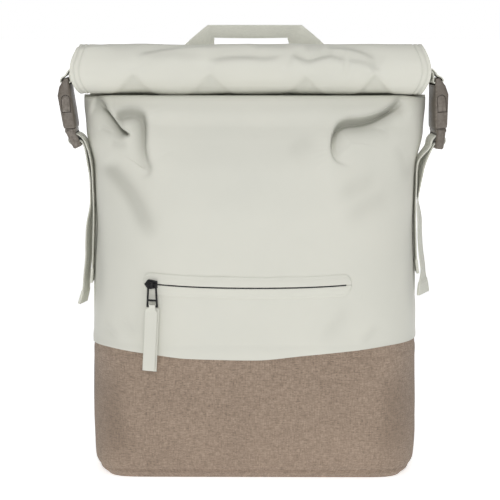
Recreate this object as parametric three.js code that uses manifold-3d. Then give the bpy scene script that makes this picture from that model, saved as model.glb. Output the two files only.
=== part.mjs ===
// Rolltop backpack in two cloths: a coated upper and a woven base, closed by rolling the mouth
// forward and clipping both ends of the roll down to straps on the side seams. A zip pocket
// crosses the front, a webbing handle stands behind the roll and two padded straps hang on the back.
// Millimetres. +Z is up, the front faces -Y and +X is the viewer's right. The origin is the middle
// of the flat underside, below the side seams. Every length below is written once and can be changed.
import * as THREE from 'three';
import { mergeVertices } from 'three/addons/utils/BufferGeometryUtils.js';
import Module from 'manifold-3d';

const wasm = await Module();
wasm.setup();

// Bag body. Depths are measured from the side seams, forward and back.
const bodyWidth = 324;
const frontBelly = 80;
const backDepth = 50;
const neckHeight = 372;
const seamHeight = 133;
const seamDip = 6;
const coatedWall = 2;
const wovenWall = 2.6;
const contactGap = 0.3;

// Rolled mouth: a sheet of two cloths wound forward round its own webbing.
const rollLength = 349;
const rollShift = -4;
const rollHeight = 53.2;
const rollDepth = 44.4;
const rollTurns = 2.25;
const rollSheet = 2.4;
const rollPitch = 3.3;
const rollSetForward = 3;
const rollEndCurve = 8;
const neckSetBack = 11.5;
const tailTuck = 8;

// Webbing and the two side-release buckles.
const webWidth = 25;
const webThick = 1.4;
const mouthWebTuck = 42;
const buckleWidth = 34;
const socketLength = 48.3;
const socketThick = 13.4;
const socketBow = 3;
const socketDrop = 7.5;
const socketTopBar = 3;
const strapSlot = 3.5;
const socketBite = 33.5;
const socketCavity = 6.4;
const cavityShift = 1;
const windowFoot = 15.5;
const windowShift = 1.7;
const windowLength = 17;
const windowTall = 8.8;
const prongClear = 0.5;
const ladderSlot = 4.3;
const ladderThick = 8.6;
const ladderBar = 2.8;
const plugCollar = 3.5;
const tailHem = 14;

// Front pocket zip.
const zipHeight = 198;
const zipDip = 3.4;
const zipLeft = -106;
const zipRight = 93;
const weltTall = 21;
const weltThick = 0.9;
const chainTall = 2;
const chainThick = 0.7;
const slitInset = 5;
const sliderAt = -97.5;
const sliderLength = 12.6;
const sliderTall = 9.4;
const sliderThick = 3;
const pullShift = 2;
const pullWire = 1.7;
const pullTopWidth = 9.2;
const pullFootWidth = 11.6;
const pullLength = 22.5;
const pullCross = 15;
const tabWidth = 12;
const tabLength = 62;
const tabLean = 3.4;
const tabTurn = -8;
const tabThick = 2.8;

// Grab handle and shoulder straps.
const handleRise = 442.7;
const handleHalfRun = 46.6;
const handleWeb = 1.7;
const strapWidth = 62;
const strapThick = 8;
const strapTop = 342;
const strapEnd = 122;
const strapInset = 38;
const strapSplay = 66;
const strapBow = 38;
const loopReach = 15;
const webAnchorHeight = 34;
const webTailHeight = 52;

const coated = { color: 0xd7d7cd, roughness: 0.55, metalness: 0 };
const woven = { color: 0x968575, roughness: 0.9, metalness: 0 };
const webbing = { color: 0xcfcfc2, roughness: 0.85, metalness: 0 };
const plastic = { color: 0x80786f, roughness: 0.45, metalness: 0 };
const blackMetal = { color: 0x17171a, roughness: 0.35, metalness: 0.6 };

// Body sections from the floor to the neck. up is a share of neckHeight, wide of half of bodyWidth,
// set (how far the side seam sits back) and back of backDepth, and front of frontBelly.
// square and round are the powers of the front's outline: 2 and 2 are an ellipse, more is boxier.
const bodySections = [
  { at: 0.0, up: 0.0, wide: 0.92, set: 0.0, front: 0.6, back: 0.86, square: 16, round: 3 },
  { at: 0.02, up: 0.02, wide: 0.964, set: 0.0, front: 0.645, back: 0.95, square: 14, round: 2.8 },
  { at: 0.042, up: 0.042, wide: 0.994, set: 0.0, front: 0.69, back: 0.98, square: 11, round: 2.6 },
  { at: 0.13, up: 0.13, wide: 1.006, set: 0.0, front: 0.8, back: 1.0, square: 8, round: 2.4 },
  { at: 0.34, up: 0.34, wide: 0.996, set: 0.0, front: 0.93, back: 1.0, square: 5, round: 2.2 },
  { at: 0.54, up: 0.54, wide: 0.985, set: 0.0, front: 1.0, back: 1.0, square: 3.8, round: 2.1 },
  { at: 0.7, up: 0.7, wide: 0.97, set: 0.0, front: 0.96, back: 1.0, square: 3.5, round: 2 },
  { at: 0.82, up: 0.82, wide: 0.977, set: 0.02, front: 0.82, back: 0.95, square: 3.6, round: 2 },
  { at: 0.9, up: 0.9, wide: 1.016, set: 0.07, front: 0.665, back: 0.76, square: 4, round: 2 },
  { at: 0.94, up: 0.95, wide: 1.031, set: 0.12, front: 0.52, back: 0.55, square: 4.4, round: 2 },
  { at: 0.962, up: 0.982, wide: 1.039, set: 0.16, front: 0.42, back: 0.36, square: 5, round: 2 },
  { at: 0.974, up: 1.0, wide: 1.04, set: 0.19, front: 0.345, back: 0.22, square: 5.5, round: 2 },
  { at: 0.983, up: 1.003, wide: 1.04, set: 0.21, front: 0.25, back: 0.15, square: 6, round: 2 },
  { at: 0.99, up: 1.004, wide: 1.04, set: 0.22, front: 0.13, back: 0.11, square: 6, round: 2 },
  { at: 1.0, up: 1.008, wide: 1.04, set: 0.23, front: 0.046, back: 0.076, square: 6, round: 2 },
];
const backSquare = 6;
const backRound = 3;

// Seam between the base and the upper on the front, from the left side seam to the right one.
// lift is a share of seamDip. The back's seam runs straight between the same two ends.
const seamRows = [
  { at: -1, lift: -0.2 },
  { at: -0.68, lift: 0.4 },
  { at: -0.45, lift: 0 },
  { at: -0.25, lift: -0.75 },
  { at: 0, lift: -0.95 },
  { at: 0.2, lift: -0.15 },
  { at: 0.4, lift: 0.55 },
  { at: 0.63, lift: 1.05 },
  { at: 1, lift: 0.75 },
];

// Creases of the stuffed front. fromX and toX are shares of half of bodyWidth, fromUp and toUp of
// neckHeight. The cloth stands proud by lift on the upper side of the line and sinks by dip below it.
const frontFolds = [
  { fromX: -0.94, fromUp: 0.985, toX: -0.73, toUp: 0.905, lift: 4.5, dip: 4, spread: 9 },
  { fromX: -0.64, fromUp: 0.95, toX: -0.645, toUp: 0.85, lift: 2.5, dip: 4.5, spread: 9 },
  { fromX: 0.9, fromUp: 0.985, toX: 0.64, toUp: 0.945, lift: -3.5, dip: -4.5, spread: 9 },
  { fromX: 0.62, fromUp: 0.945, toX: 0.45, toUp: 0.925, lift: -3, dip: -4, spread: 9 },
  { fromX: 0.45, fromUp: 0.925, toX: 0.455, toUp: 0.85, lift: -4, dip: -2.5, spread: 9 },
  { fromX: -0.95, fromUp: 0.83, toX: -0.62, toUp: 0.6, lift: 1.5, dip: 2.5, spread: 15 },
  { fromX: 0.9, fromUp: 0.83, toX: 0.5, toUp: 0.78, lift: -1.5, dip: -2, spread: 14 },
  { fromX: 0.86, fromUp: 0.45, toX: 0.6, toUp: 0.37, lift: 1, dip: 1.5, spread: 12 },
  { fromX: -0.9, fromUp: 0.5, toX: -0.72, toUp: 0.38, lift: 1, dip: 1.5, spread: 12 },
];

// Puckers of the roll. along is a share of half of rollLength, turn is degrees from straight down
// through the back, lift is in millimetres and wide and tall are the pucker's reach.
const rollDents = [
  { along: -0.62, turn: 320, lift: -1.8, wide: 12, tall: 26 },
  { along: -0.22, turn: 320, lift: -1.8, wide: 13, tall: 26 },
  { along: 0.3, turn: 320, lift: -1.8, wide: 13, tall: 26 },
  { along: 0.68, turn: 320, lift: -2.2, wide: 13, tall: 28 },
  { along: -0.45, turn: 232, lift: 1.6, wide: 40, tall: 22 },
  { along: 0.05, turn: 236, lift: 1.8, wide: 46, tall: 20 },
  { along: 0.45, turn: 242, lift: 2.2, wide: 42, tall: 22 },
];

// How each side hangs. gap is from the roll's end to the socket, lean, turn and bend are degrees of
// the buckle and of its ladder end, anchor and tail are the heights of the strap's two ends as shares
// of neckHeight, sway and twist are degrees of the free end beside the anchor and at its hem, and
// outs are how far the free end stands off the side at the shares in tailShares.
const tailShares = [0.11, 0.19, 0.28, 0.37, 0.49, 0.6, 0.7, 0.82, 0.9, 1];
const hangers = [
  {
    name: 'left',
    side: -1,
    gap: -2.4,
    lean: -3.4,
    turn: 0,
    bend: 22,
    anchor: 0.511,
    tail: 0.452,
    sway: 8,
    twist: 12,
    outs: [5, 3.9, 3.6, 3.7, 6.6, 7, 6.6, 8, 8.6, 12],
  },
  {
    name: 'right',
    side: 1,
    gap: -1.5,
    lean: -5,
    turn: 7,
    bend: 12,
    anchor: 0.538,
    tail: 0.478,
    sway: -14,
    twist: -30,
    outs: [7, 5.2, 4.4, 4.6, 6.6, 6.6, 7, 8.6, 8.4, 8.6],
  },
];

const rad = THREE.MathUtils.degToRad;
const mix = THREE.MathUtils.lerp;
const { clamp, smoothstep } = THREE.MathUtils;

// Smooth reading of one column of a table, with no overshoot between its rows.
function readTable(table, column, at) {
  const last = table.length - 1;
  let i = 0;
  while (i < last - 1 && at > table[i + 1].at) i++;
  const rise = (j) => (table[j + 1][column] - table[j][column]) / (table[j + 1].at - table[j].at);
  const slope = (k) => {
    if (k === 0) return rise(0);
    if (k === last) return rise(last - 1);
    const before = rise(k - 1);
    const after = rise(k);
    return before * after > 0 ? (2 * before * after) / (before + after) : 0;
  };
  const span = table[i + 1].at - table[i].at;
  const t = clamp((at - table[i].at) / span, 0, 1);
  const t2 = t * t;
  const t3 = t2 * t;
  return (
    (2 * t3 - 3 * t2 + 1) * table[i][column] +
    (t3 - 2 * t2 + t) * span * slope(i) +
    (3 * t2 - 2 * t3) * table[i + 1][column] +
    (t3 - t2) * span * slope(i + 1)
  );
}

// Turns a geometry's faces out, whichever way its grid ran.
function facingOut(positions, index) {
  let volume = 0;
  const [a, b, c] = [new THREE.Vector3(), new THREE.Vector3(), new THREE.Vector3()];
  for (let i = 0; i < index.length; i += 3) {
    a.fromArray(positions, 3 * index[i]);
    b.fromArray(positions, 3 * index[i + 1]);
    c.fromArray(positions, 3 * index[i + 2]);
    volume += a.dot(b.cross(c));
  }
  if (volume < 0) index.reverse();
  const geometry = new THREE.BufferGeometry();
  geometry.setAttribute('position', new THREE.Float32BufferAttribute(positions, 3));
  geometry.setIndex(index);
  return geometry;
}

// Triangles of a flat ring, wound the way the ring runs.
function capOf(ring) {
  const normal = new THREE.Vector3();
  ring.forEach((p, i) => normal.add(p.clone().cross(ring[(i + 1) % ring.length])));
  const sizes = [Math.abs(normal.x), Math.abs(normal.y), Math.abs(normal.z)];
  const drop = sizes.indexOf(Math.max(...sizes));
  const keep = [0, 1, 2].filter((k) => k !== drop);
  const flat = ring.map((p) => new THREE.Vector2(p.getComponent(keep[0]), p.getComponent(keep[1])));
  const ringArea = THREE.ShapeUtils.area(flat);
  return THREE.ShapeUtils.triangulateShape(flat, []).map((face) => {
    const area = THREE.ShapeUtils.area(face.map((k) => flat[k]));
    return area * ringArea < 0 ? [face[2], face[1], face[0]] : face;
  });
}

// Closed solid through rings of equally many points, capped at both ends.
function loft(rings) {
  const count = rings[0].length;
  const positions = rings.flat().flatMap((p) => [p.x, p.y, p.z]);
  const index = [];
  for (let i = 0; i < rings.length - 1; i++) {
    for (let j = 0; j < count; j++) {
      const a = i * count + j;
      const b = i * count + ((j + 1) % count);
      index.push(a, b, b + count, a, b + count, a + count);
    }
  }
  capOf(rings[0]).forEach(([a, b, c]) => index.push(c, b, a));
  const top = (rings.length - 1) * count;
  capOf(rings.at(-1)).forEach(([a, b, c]) => index.push(top + a, top + b, top + c));
  return facingOut(positions, index);
}

// Closed sheet between two grids of points of equal size: its two faces and the four edges.
function sheet(outer, inner) {
  const rows = outer.length;
  const columns = outer[0].length;
  const positions = [...outer.flat(), ...inner.flat()].flatMap((p) => [p.x, p.y, p.z]);
  const index = [];
  const far = rows * columns;
  const quad = (a, b, c, d) => index.push(a, b, c, a, c, d);
  for (let i = 0; i < rows - 1; i++) {
    for (let j = 0; j < columns - 1; j++) {
      const a = i * columns + j;
      quad(a, a + 1, a + 1 + columns, a + columns);
      quad(far + a + columns, far + a + 1 + columns, far + a + 1, far + a);
    }
  }
  for (let j = 0; j < columns - 1; j++) {
    const top = (rows - 1) * columns + j;
    quad(far + j, far + j + 1, j + 1, j);
    quad(top, top + 1, far + top + 1, far + top);
  }
  for (let i = 0; i < rows - 1; i++) {
    const left = i * columns;
    const right = left + columns - 1;
    quad(left, left + columns, far + left + columns, far + left);
    quad(far + right, far + right + columns, right + columns, right);
  }
  return facingOut(positions, index);
}

// A strip of cloth or webbing along stations of { at, across, width, thick }: a point on its middle,
// the direction of its width, and its two sizes there.
function strip(stations) {
  return loft(
    stations.map(({ at, across, width, thick }, i) => {
      const before = stations[Math.max(i - 1, 0)].at;
      const after = stations[Math.min(i + 1, stations.length - 1)].at;
      const along = after.clone().sub(before).normalize();
      const wide = across.clone().addScaledVector(along, -across.dot(along)).normalize();
      const out = along.clone().cross(wide);
      return [[-1, -1], [1, -1], [1, 1], [-1, 1]].map(([u, v]) =>
        at.clone().addScaledVector(wide, (u * width) / 2).addScaledVector(out, (v * thick) / 2),
      );
    }),
  );
}

function solidOf(geometry) {
  const bare = geometry.index ? geometry.toNonIndexed() : geometry.clone();
  bare.deleteAttribute('normal');
  bare.deleteAttribute('uv');
  const merged = mergeVertices(bare, 1e-4);
  return new wasm.Manifold(
    new wasm.Mesh({
      numProp: 3,
      vertProperties: merged.attributes.position.array,
      triVerts: new Uint32Array(merged.index.array),
    }),
  );
}

function geometryOf(solid) {
  const mesh = solid.getMesh();
  const geometry = new THREE.BufferGeometry();
  geometry.setAttribute('position', new THREE.Float32BufferAttribute(mesh.vertProperties, 3));
  geometry.setIndex(Array.from(mesh.triVerts));
  return geometry;
}

const block = (sizeX, sizeY, sizeZ, x, y, z) =>
  solidOf(new THREE.BoxGeometry(sizeX, sizeY, sizeZ).translate(x, y, z));

// Rounded rectangle in the XY plane at one height, four points a corner.
function roundedRing(halfX, halfY, radius, z) {
  const points = [];
  [[1, 1], [-1, 1], [-1, -1], [1, -1]].forEach(([sx, sy], corner) => {
    for (let k = 0; k < 4; k++) {
      const angle = (corner * Math.PI) / 2 + (k * Math.PI) / 6;
      points.push(
        new THREE.Vector3(
          sx * (halfX - radius) + radius * Math.cos(angle),
          sy * (halfY - radius) + radius * Math.sin(angle),
          z,
        ),
      );
    }
  });
  return points;
}

function piece(name, geometry, finish) {
  const mesh = new THREE.Mesh(geometry, new THREE.MeshStandardMaterial(finish));
  mesh.name = name;
  return mesh;
}

const halfBody = bodyWidth / 2;
const section = (column, at) => readTable(bodySections, column, at);

// How far the creases move the front outwards at a point of its face.
function foldLift(x, z) {
  return frontFolds.reduce((sum, fold) => {
    const fromX = fold.fromX * halfBody;
    const fromZ = fold.fromUp * neckHeight;
    const runX = fold.toX * halfBody - fromX;
    const runZ = fold.toUp * neckHeight - fromZ;
    const length = Math.hypot(runX, runZ);
    const along = ((x - fromX) * runX + (z - fromZ) * runZ) / length;
    const off = ((x - fromX) * runZ - (z - fromZ) * runX) / length;
    const begins = smoothstep(along, -fold.spread, fold.spread);
    const stops = smoothstep(along, length - fold.spread, length + fold.spread);
    const side = fold.spread * 0.6;
    const bump = (centre) => Math.exp(-(((off - centre) / fold.spread) ** 2));
    return sum + begins * (1 - stops) * (fold.lift * bump(-side) - fold.dip * bump(side));
  }, 0);
}

// Point of the body's outer face without creases. across runs from -1 at the left seam to 1 at the
// right one, face is -1 for the front and 1 for the back, and at reads the section table.
function plainBodyPoint(across, face, at) {
  const s = Math.sin((across * Math.PI) / 2);
  const power = face < 0 ? section('square', at) : backSquare;
  const round = face < 0 ? section('round', at) : backRound;
  const reach = face < 0 ? frontBelly * section('front', at) : backDepth * section('back', at);
  const fullness = Math.max(0, 1 - Math.abs(s) ** power) ** (1 / round);
  return new THREE.Vector3(
    halfBody * section('wide', at) * s,
    backDepth * section('set', at) + face * reach * fullness,
    neckHeight * section('up', at),
  );
}

// Outward normal of a face given as a function of (across, at).
function normalOf(point, face, across, at) {
  const step = 0.004;
  const a = [clamp(across - step, -1, 1), clamp(across + step, -1, 1)];
  const b = [clamp(at - step, 0, 1), clamp(at + step, 0, 1)];
  const sideways = point(a[1], at).sub(point(a[0], at));
  const upwards = point(across, b[1]).sub(point(across, b[0]));
  return sideways.cross(upwards).multiplyScalar(-face).normalize();
}

const plainFront = (across, at) => plainBodyPoint(across, -1, at);
const plainBack = (across, at) => plainBodyPoint(across, 1, at);

// The two faces of the cloth, depth below the outside. The creases move both sides of the wall alike.
function frontFace(across, at, depth = 0) {
  const p = plainFront(across, at);
  return p.addScaledVector(normalOf(plainFront, -1, across, at), foldLift(p.x, p.z) - depth);
}

const backFace = (across, at, depth = 0) =>
  plainBack(across, at).addScaledVector(normalOf(plainBack, 1, across, at), -depth);

// Where the seam between the base and the upper reads the section table.
function seamAt(across, face) {
  const ends = mix(seamRows[0].lift, seamRows.at(-1).lift, (across + 1) / 2);
  return (seamHeight + seamDip * (face < 0 ? readTable(seamRows, 'lift', across) : ends)) / neckHeight;
}

// Even shares from 0 to 1.
const spread = (count) => Array.from({ length: count + 1 }, (_, k) => k / count);

// Half of the upper, from the base seam to the neck, with its own rows where it turns under the roll.
// Near the neck both halves keep clear of the sheet that leaves it.
function upperPanel(name, face, columns, lowRows, highRows) {
  const point = face < 0 ? frontFace : backFace;
  const turn = bodySections.at(-6).at;
  const lifted = contactGap / 2 / neckHeight;
  const rowsFor = (across) => {
    const start = seamAt(across, face) + lifted;
    const low = spread(lowRows).map((t) => mix(start, turn, t));
    return [...low, ...spread(highRows).slice(1).map((t) => mix(turn, 1, t))];
  };
  const grids = [0, coatedWall].map((depth) =>
    Array.from({ length: lowRows + highRows + 1 }, (_, row) =>
      spread(columns).map((u) => {
        const across = u * 2 - 1;
        const at = rowsFor(across)[row];
        const p = point(across, at, depth);
        const seamY = backDepth * section('set', at);
        const underRoll = smoothstep(at, turn, turn + 0.015);
        const clear = mix(contactGap / 2, contactGap + rollSheet / 2, underRoll);
        p.y = seamY + face * Math.max(face * (p.y - seamY), clear);
        return p;
      }),
    ),
  );
  return piece(name, sheet(grids[0], grids[1]), coated);
}

// The base is one cup: rings run up its outside to the seam and down its inside to the floor.
function baseCup() {
  const halfRing = 22;
  const outsideRows = [0, 0.03, 0.08, 0.2, 0.42, 0.7, 1];
  const around = [
    ...spread(halfRing).slice(0, -1).map((u) => [u * 2 - 1, -1]),
    ...spread(halfRing).slice(0, -1).map((u) => [1 - u * 2, 1]),
  ];
  const lowered = contactGap / 2 / neckHeight;
  const ring = (t, depth) =>
    around.map(([across, face]) => {
      const at = t * (seamAt(across, face) - lowered);
      const p = plainBodyPoint(across, face, at);
      const inward = normalOf(face < 0 ? plainFront : plainBack, face, across, Math.max(at, 0.05));
      p.x -= inward.x * depth;
      p.y -= inward.y * depth;
      if (depth > 0) p.z = Math.max(p.z, depth);
      return p;
    });
  const outside = outsideRows.map((t) => ring(t, 0));
  const inside = outsideRows.slice(1).reverse().map((t) => ring(t, wovenWall));
  return piece('base_cup', loft([...outside, ...inside]), woven);
}

// Centre line of the rolled sheet, seen from the right: up from the neck, round the back, over the
// top, down the front and inwards. turn is degrees from straight down, counted through the back.
const rollY = -rollSetForward;
const rollHalfDepth = (rollDepth - rollSheet) / 2;
const rollHalfHeight = (rollHeight - rollSheet) / 2;
const rollZ = neckHeight + rollHalfHeight + 2.5;
const rollStart = 50;
const rollHeart = rollY - 0.9;

function rollLift(x, turn) {
  return rollDents.reduce((sum, dent) => {
    const across = (x - rollShift - (dent.along * rollLength) / 2) / dent.wide;
    const round = ((((turn - dent.turn) % 360) + 540) % 360) - 180;
    return sum + dent.lift * Math.exp(-(across ** 2) - (round / dent.tall) ** 2);
  }, 0);
}

function rollPoint(x, turn) {
  const inwards = (rollPitch * (turn - rollStart)) / 360;
  const lift = rollLift(x, turn) * smoothstep(turn, rollStart, rollStart + 60);
  return [
    rollY + (rollHalfDepth - inwards + lift) * Math.sin(rad(turn)),
    rollZ - (rollHalfHeight - inwards + lift) * Math.cos(rad(turn)),
  ];
}

function rolledTop() {
  const steps = Math.round(20 * rollTurns);
  const stations = [-1, -0.8, -0.62, -0.42, -0.22, 0.05, 0.3, 0.68, 1];
  const neckHalf = halfBody * section('wide', 1) - 6;
  const foot = neckHeight - tailTuck + 6;
  const ring = (share) => {
    const line = [foot, foot + 5, foot + 10].map((z) => ({ y: neckSetBack, z, half: neckHalf }));
    spread(steps).forEach((t) => {
      const turn = rollStart + 360 * rollTurns * t;
      const half = rollLength / 2 - rollEndCurve * Math.cos(rad(turn)) ** 2;
      const [y, z] = rollPoint(rollShift + share * half, turn);
      line.push({ y, z, half: mix(neckHalf, half, smoothstep(turn, rollStart, rollStart + 40)) });
    });
    const edge = (side) =>
      line.map((p, i) => {
        const a = line[Math.max(i - 1, 0)];
        const b = line[Math.min(i + 1, line.length - 1)];
        const run = Math.hypot(b.y - a.y, b.z - a.z);
        const shift = smoothstep(i, 2, 6) * rollShift;
        return new THREE.Vector3(
          shift + share * p.half,
          p.y + ((side * rollSheet) / 2) * ((b.z - a.z) / run),
          p.z - ((side * rollSheet) / 2) * ((b.y - a.y) / run),
        );
      });
    return [...edge(1), ...edge(-1).reverse()];
  };
  return piece('rolled_top', loft(stations.map(ring)), coated);
}

// Buckles. In a buckle's own frame z runs up from the socket's mouth, y is its width and x its
// thickness. thick is a share of socketThick, wide of buckleWidth and bow of socketBow, away from the
// bag. The plug's ladder end is bent towards the bag below the mouth.
const socketTop = rollZ - socketDrop;
const rollEnd = (side) => rollShift * side + rollLength / 2;
const socketSections = [
  { at: 0, thick: 0.88, wide: 0.95, bow: 0 },
  { at: 0.05, thick: 0.93, wide: 1, bow: 0.08 },
  { at: 0.35, thick: 0.97, wide: 1, bow: 0.5 },
  { at: 0.66, thick: 1, wide: 0.99, bow: 1 },
  { at: 0.84, thick: 0.78, wide: 0.95, bow: 0.7 },
  { at: 1, thick: 0.3, wide: 0.88, bow: 0 },
];

function stadium(tall, long, through, foot) {
  const radius = tall / 2;
  const shape = new THREE.Shape();
  shape.moveTo(-radius, 0);
  shape.lineTo(radius, 0);
  shape.lineTo(radius, long - radius);
  shape.absarc(0, long - radius, radius, 0, Math.PI, false);
  const solid = new THREE.ExtrudeGeometry(shape, { depth: through, bevelEnabled: false, curveSegments: 8 });
  return solid.rotateX(Math.PI / 2).translate(0, through / 2, foot);
}

function socketGeometry(side) {
  const rings = socketSections.map(({ at, thick, wide, bow }) => {
    const half = (socketThick * thick) / 2;
    const ring = roundedRing(half, (buckleWidth * wide) / 2, half * 0.56, at * socketLength);
    return ring.map((p) => p.setX(p.x + side * bow * socketBow));
  });
  const body = solidOf(loft(rings));
  const cavityLength = socketBite + 1;
  const cavityMiddle = socketBite / 2 - 0.5;
  const cavity = block(socketCavity, buckleWidth - 7, cavityLength, side * cavityShift, 0, cavityMiddle);
  const hole = stadium(windowTall, windowLength, buckleWidth + 4, windowFoot);
  const windows = solidOf(hole.translate(side * windowShift, 0, 0));
  const webSlot = socketLength - socketTopBar - strapSlot / 2;
  const slot = block(socketThick * 2, webWidth + 0.8, strapSlot, 0, 0, webSlot);
  return geometryOf(body.subtract(cavity).subtract(windows).subtract(slot));
}

// Frame with slots that a web is laced through, hanging down from z = 0.
const ladderLength = (slots) => slots * (ladderSlot + ladderBar) + ladderBar;
const slotMiddle = (k) => -ladderLength(k) - ladderSlot / 2;

function ladderSolid(slots, rise = 0) {
  const length = ladderLength(slots);
  const width = buckleWidth - 1;
  const thick = ladderThick;
  let frame = solidOf(
    loft([
      roundedRing(thick / 2 - 1, width / 2 - 1.2, 1.6, -length),
      roundedRing(thick / 2, width / 2, 2.4, -length + 1.4),
      roundedRing(thick / 2, width / 2, 2.4, rise),
    ]),
  );
  for (let k = 0; k < slots; k++) {
    frame = frame.subtract(block(thick * 2, webWidth + 0.8, ladderSlot, 0, 0, slotMiddle(k)));
  }
  return frame;
}

const ladderFrame = (side, bend) =>
  new THREE.Matrix4().makeRotationY(rad(side * bend)).setPosition(0, 0, -plugCollar);

function plugGeometry({ side, bend }) {
  const prongOuter = buckleWidth / 2 - 3.5 - prongClear;
  const prong = 3.4;
  const reach = windowFoot + windowLength - prongClear - 1;
  const thick = socketCavity - 2 * prongClear;
  const shift = side * cavityShift;
  let plug = block(socketThick * 0.74, buckleWidth - 5, plugCollar, 0, 0, -plugCollar / 2 - prongClear);
  plug = plug.add(block(thick * 0.6, 5, reach - 4, shift, 0, (reach - 4) / 2 - 1));
  [-1, 1].forEach((s) => {
    plug = plug.add(block(thick, prong, reach + 1, shift, s * (prongOuter - prong / 2), reach / 2 - 0.5));
    const [tall, long] = [windowTall - 2 * prongClear, windowLength - 2 * prongClear];
    const button = stadium(tall, long, 4, windowFoot + prongClear);
    button.translate(side * windowShift, s * (buckleWidth / 2 - 2.6), 0);
    plug = plug.add(solidOf(button));
  });
  return geometryOf(plug.add(ladderSolid(2, plugCollar - 2).transform(ladderFrame(side, bend).elements)));
}

function buckleFrame({ side, gap, lean, turn }) {
  const hang = Math.max(rollEnd(side) + gap, halfBody * section('wide', 1) + contactGap);
  const out = hang + socketThick / 2;
  const tall = new THREE.Vector3(Math.sin(rad(lean)), 0, Math.cos(rad(lean)));
  const top = new THREE.Vector3(side * out, rollHeart, socketTop);
  const mouth = top.addScaledVector(tall, -socketLength);
  const turned = new THREE.Matrix4().makeRotationZ(rad(turn));
  return new THREE.Matrix4().makeRotationY(rad(lean)).multiply(turned).setPosition(mouth);
}

// A point beside a buckle: out is its distance from the buckle's middle, away from the bag.
const besideBuckle = (hanger, out, z) =>
  new THREE.Vector3(hanger.side * out, 0, z).applyMatrix4(buckleFrame(hanger));

function besideLadder(hanger, out, z) {
  const p = new THREE.Vector3(hanger.side * out, 0, z);
  return p.applyMatrix4(ladderFrame(hanger.side, hanger.bend)).applyMatrix4(buckleFrame(hanger));
}

// Stations of a web through chosen points, closer together where it bends; shape(share) may twist
// or thicken it.
function webStations(points, across, shape = () => ({})) {
  const curve = new THREE.CatmullRomCurve3(points, false, 'centripetal');
  curve.arcLengthDivisions = 800;
  const fine = 500;
  const path = curve.getSpacedPoints(fine);
  const kept = [0];
  let [bend, run] = [0, 0];
  for (let i = 1; i < fine; i++) {
    const before = path[i].clone().sub(path[i - 1]);
    bend += before.angleTo(path[i + 1].clone().sub(path[i]));
    run += before.length();
    if (bend > rad(20) || run > 14) {
      kept.push(i);
      [bend, run] = [0, 0];
    }
  }
  return [...kept, fine].map((i) => {
    const { twist = 0, thick = webThick } = shape(i / fine);
    const turned = across.clone().applyAxisAngle(new THREE.Vector3(0, 0, 1), rad(twist));
    return { at: path[i], across: turned, width: webWidth, thick };
  });
}

const alongY = new THREE.Vector3(0, 1, 0);
const alongX = new THREE.Vector3(1, 0, 0);

// Loop of webbing from the heart of the roll round the socket's top bar and back.
function mouthWeb(hanger) {
  const { side } = hanger;
  const end = side * rollEnd(side);
  const barMiddle = socketLength - socketTopBar / 2;
  const clear = contactGap + webThick / 2;
  const barShare = 1 - socketTopBar / socketLength;
  const bar = socketBow * readTable(socketSections, 'bow', barShare);
  const barHalf = (socketThick / 2) * readTable(socketSections, 'thick', barShare);
  const under = barMiddle - socketTopBar / 2 - clear - 0.4;
  const layer = webThick / 2 + 0.7;
  const inRoll = (tuck, z) => new THREE.Vector3(end - side * tuck, rollHeart, rollZ + z);
  const points = [
    inRoll(mouthWebTuck, layer),
    inRoll(mouthWebTuck / 2, layer),
    inRoll(0, layer),
    besideBuckle(hanger, bar, barMiddle + socketTopBar / 2 + clear + 1.6),
    besideBuckle(hanger, bar + barHalf * 0.9, barMiddle + socketTopBar / 2 + clear * 0.8),
    besideBuckle(hanger, bar + barHalf + clear + 0.5, barMiddle - socketTopBar * 0.4),
    besideBuckle(hanger, bar + barHalf * 0.8, under),
    besideBuckle(hanger, bar - barHalf * 0.8, under),
    besideBuckle(hanger, bar - barHalf - clear - 0.5, barMiddle - socketTopBar * 0.4),
    besideBuckle(hanger, bar - barHalf - clear, barMiddle + 2.5),
    inRoll(0, -layer),
    inRoll(mouthWebTuck / 2, -layer),
    inRoll(mouthWebTuck, -layer),
  ];
  const shape = () => ({ twist: hanger.turn });
  return piece(`mouth_web_${hanger.name}`, strip(webStations(points, alongY, shape)), webbing);
}

const sideOf = (z) => halfBody * section('wide', z / neckHeight);

// Way of a web through two slots of a ladder, from k on, as (out, height): up behind both bars,
// out over the middle one, in again and down behind the last. behind is the side it comes from.
function ladderLacing(k, behind) {
  const clear = contactGap + webThick / 2;
  const face = ladderThick / 2;
  const middleBar = (slotMiddle(k) + slotMiddle(k + 1)) / 2;
  const lastBar = slotMiddle(k + 1) - (ladderSlot + ladderBar) / 2;
  return [
    [behind * (face + clear + webThick + 1.4), lastBar],
    [behind * (face + clear + webThick + 0.4), middleBar - 0.5],
    [behind * face, slotMiddle(k) - 0.2],
    [0, slotMiddle(k) + 0.4],
    [-behind * face, slotMiddle(k) - 0.3],
    [-behind * (face + clear + 0.3), middleBar],
    [-behind * face, slotMiddle(k + 1) + 0.3],
    [0, slotMiddle(k + 1) - 0.4],
    [behind * (face - 0.2), slotMiddle(k + 1)],
    [behind * (face + clear + 0.5), lastBar],
  ];
}

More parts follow.
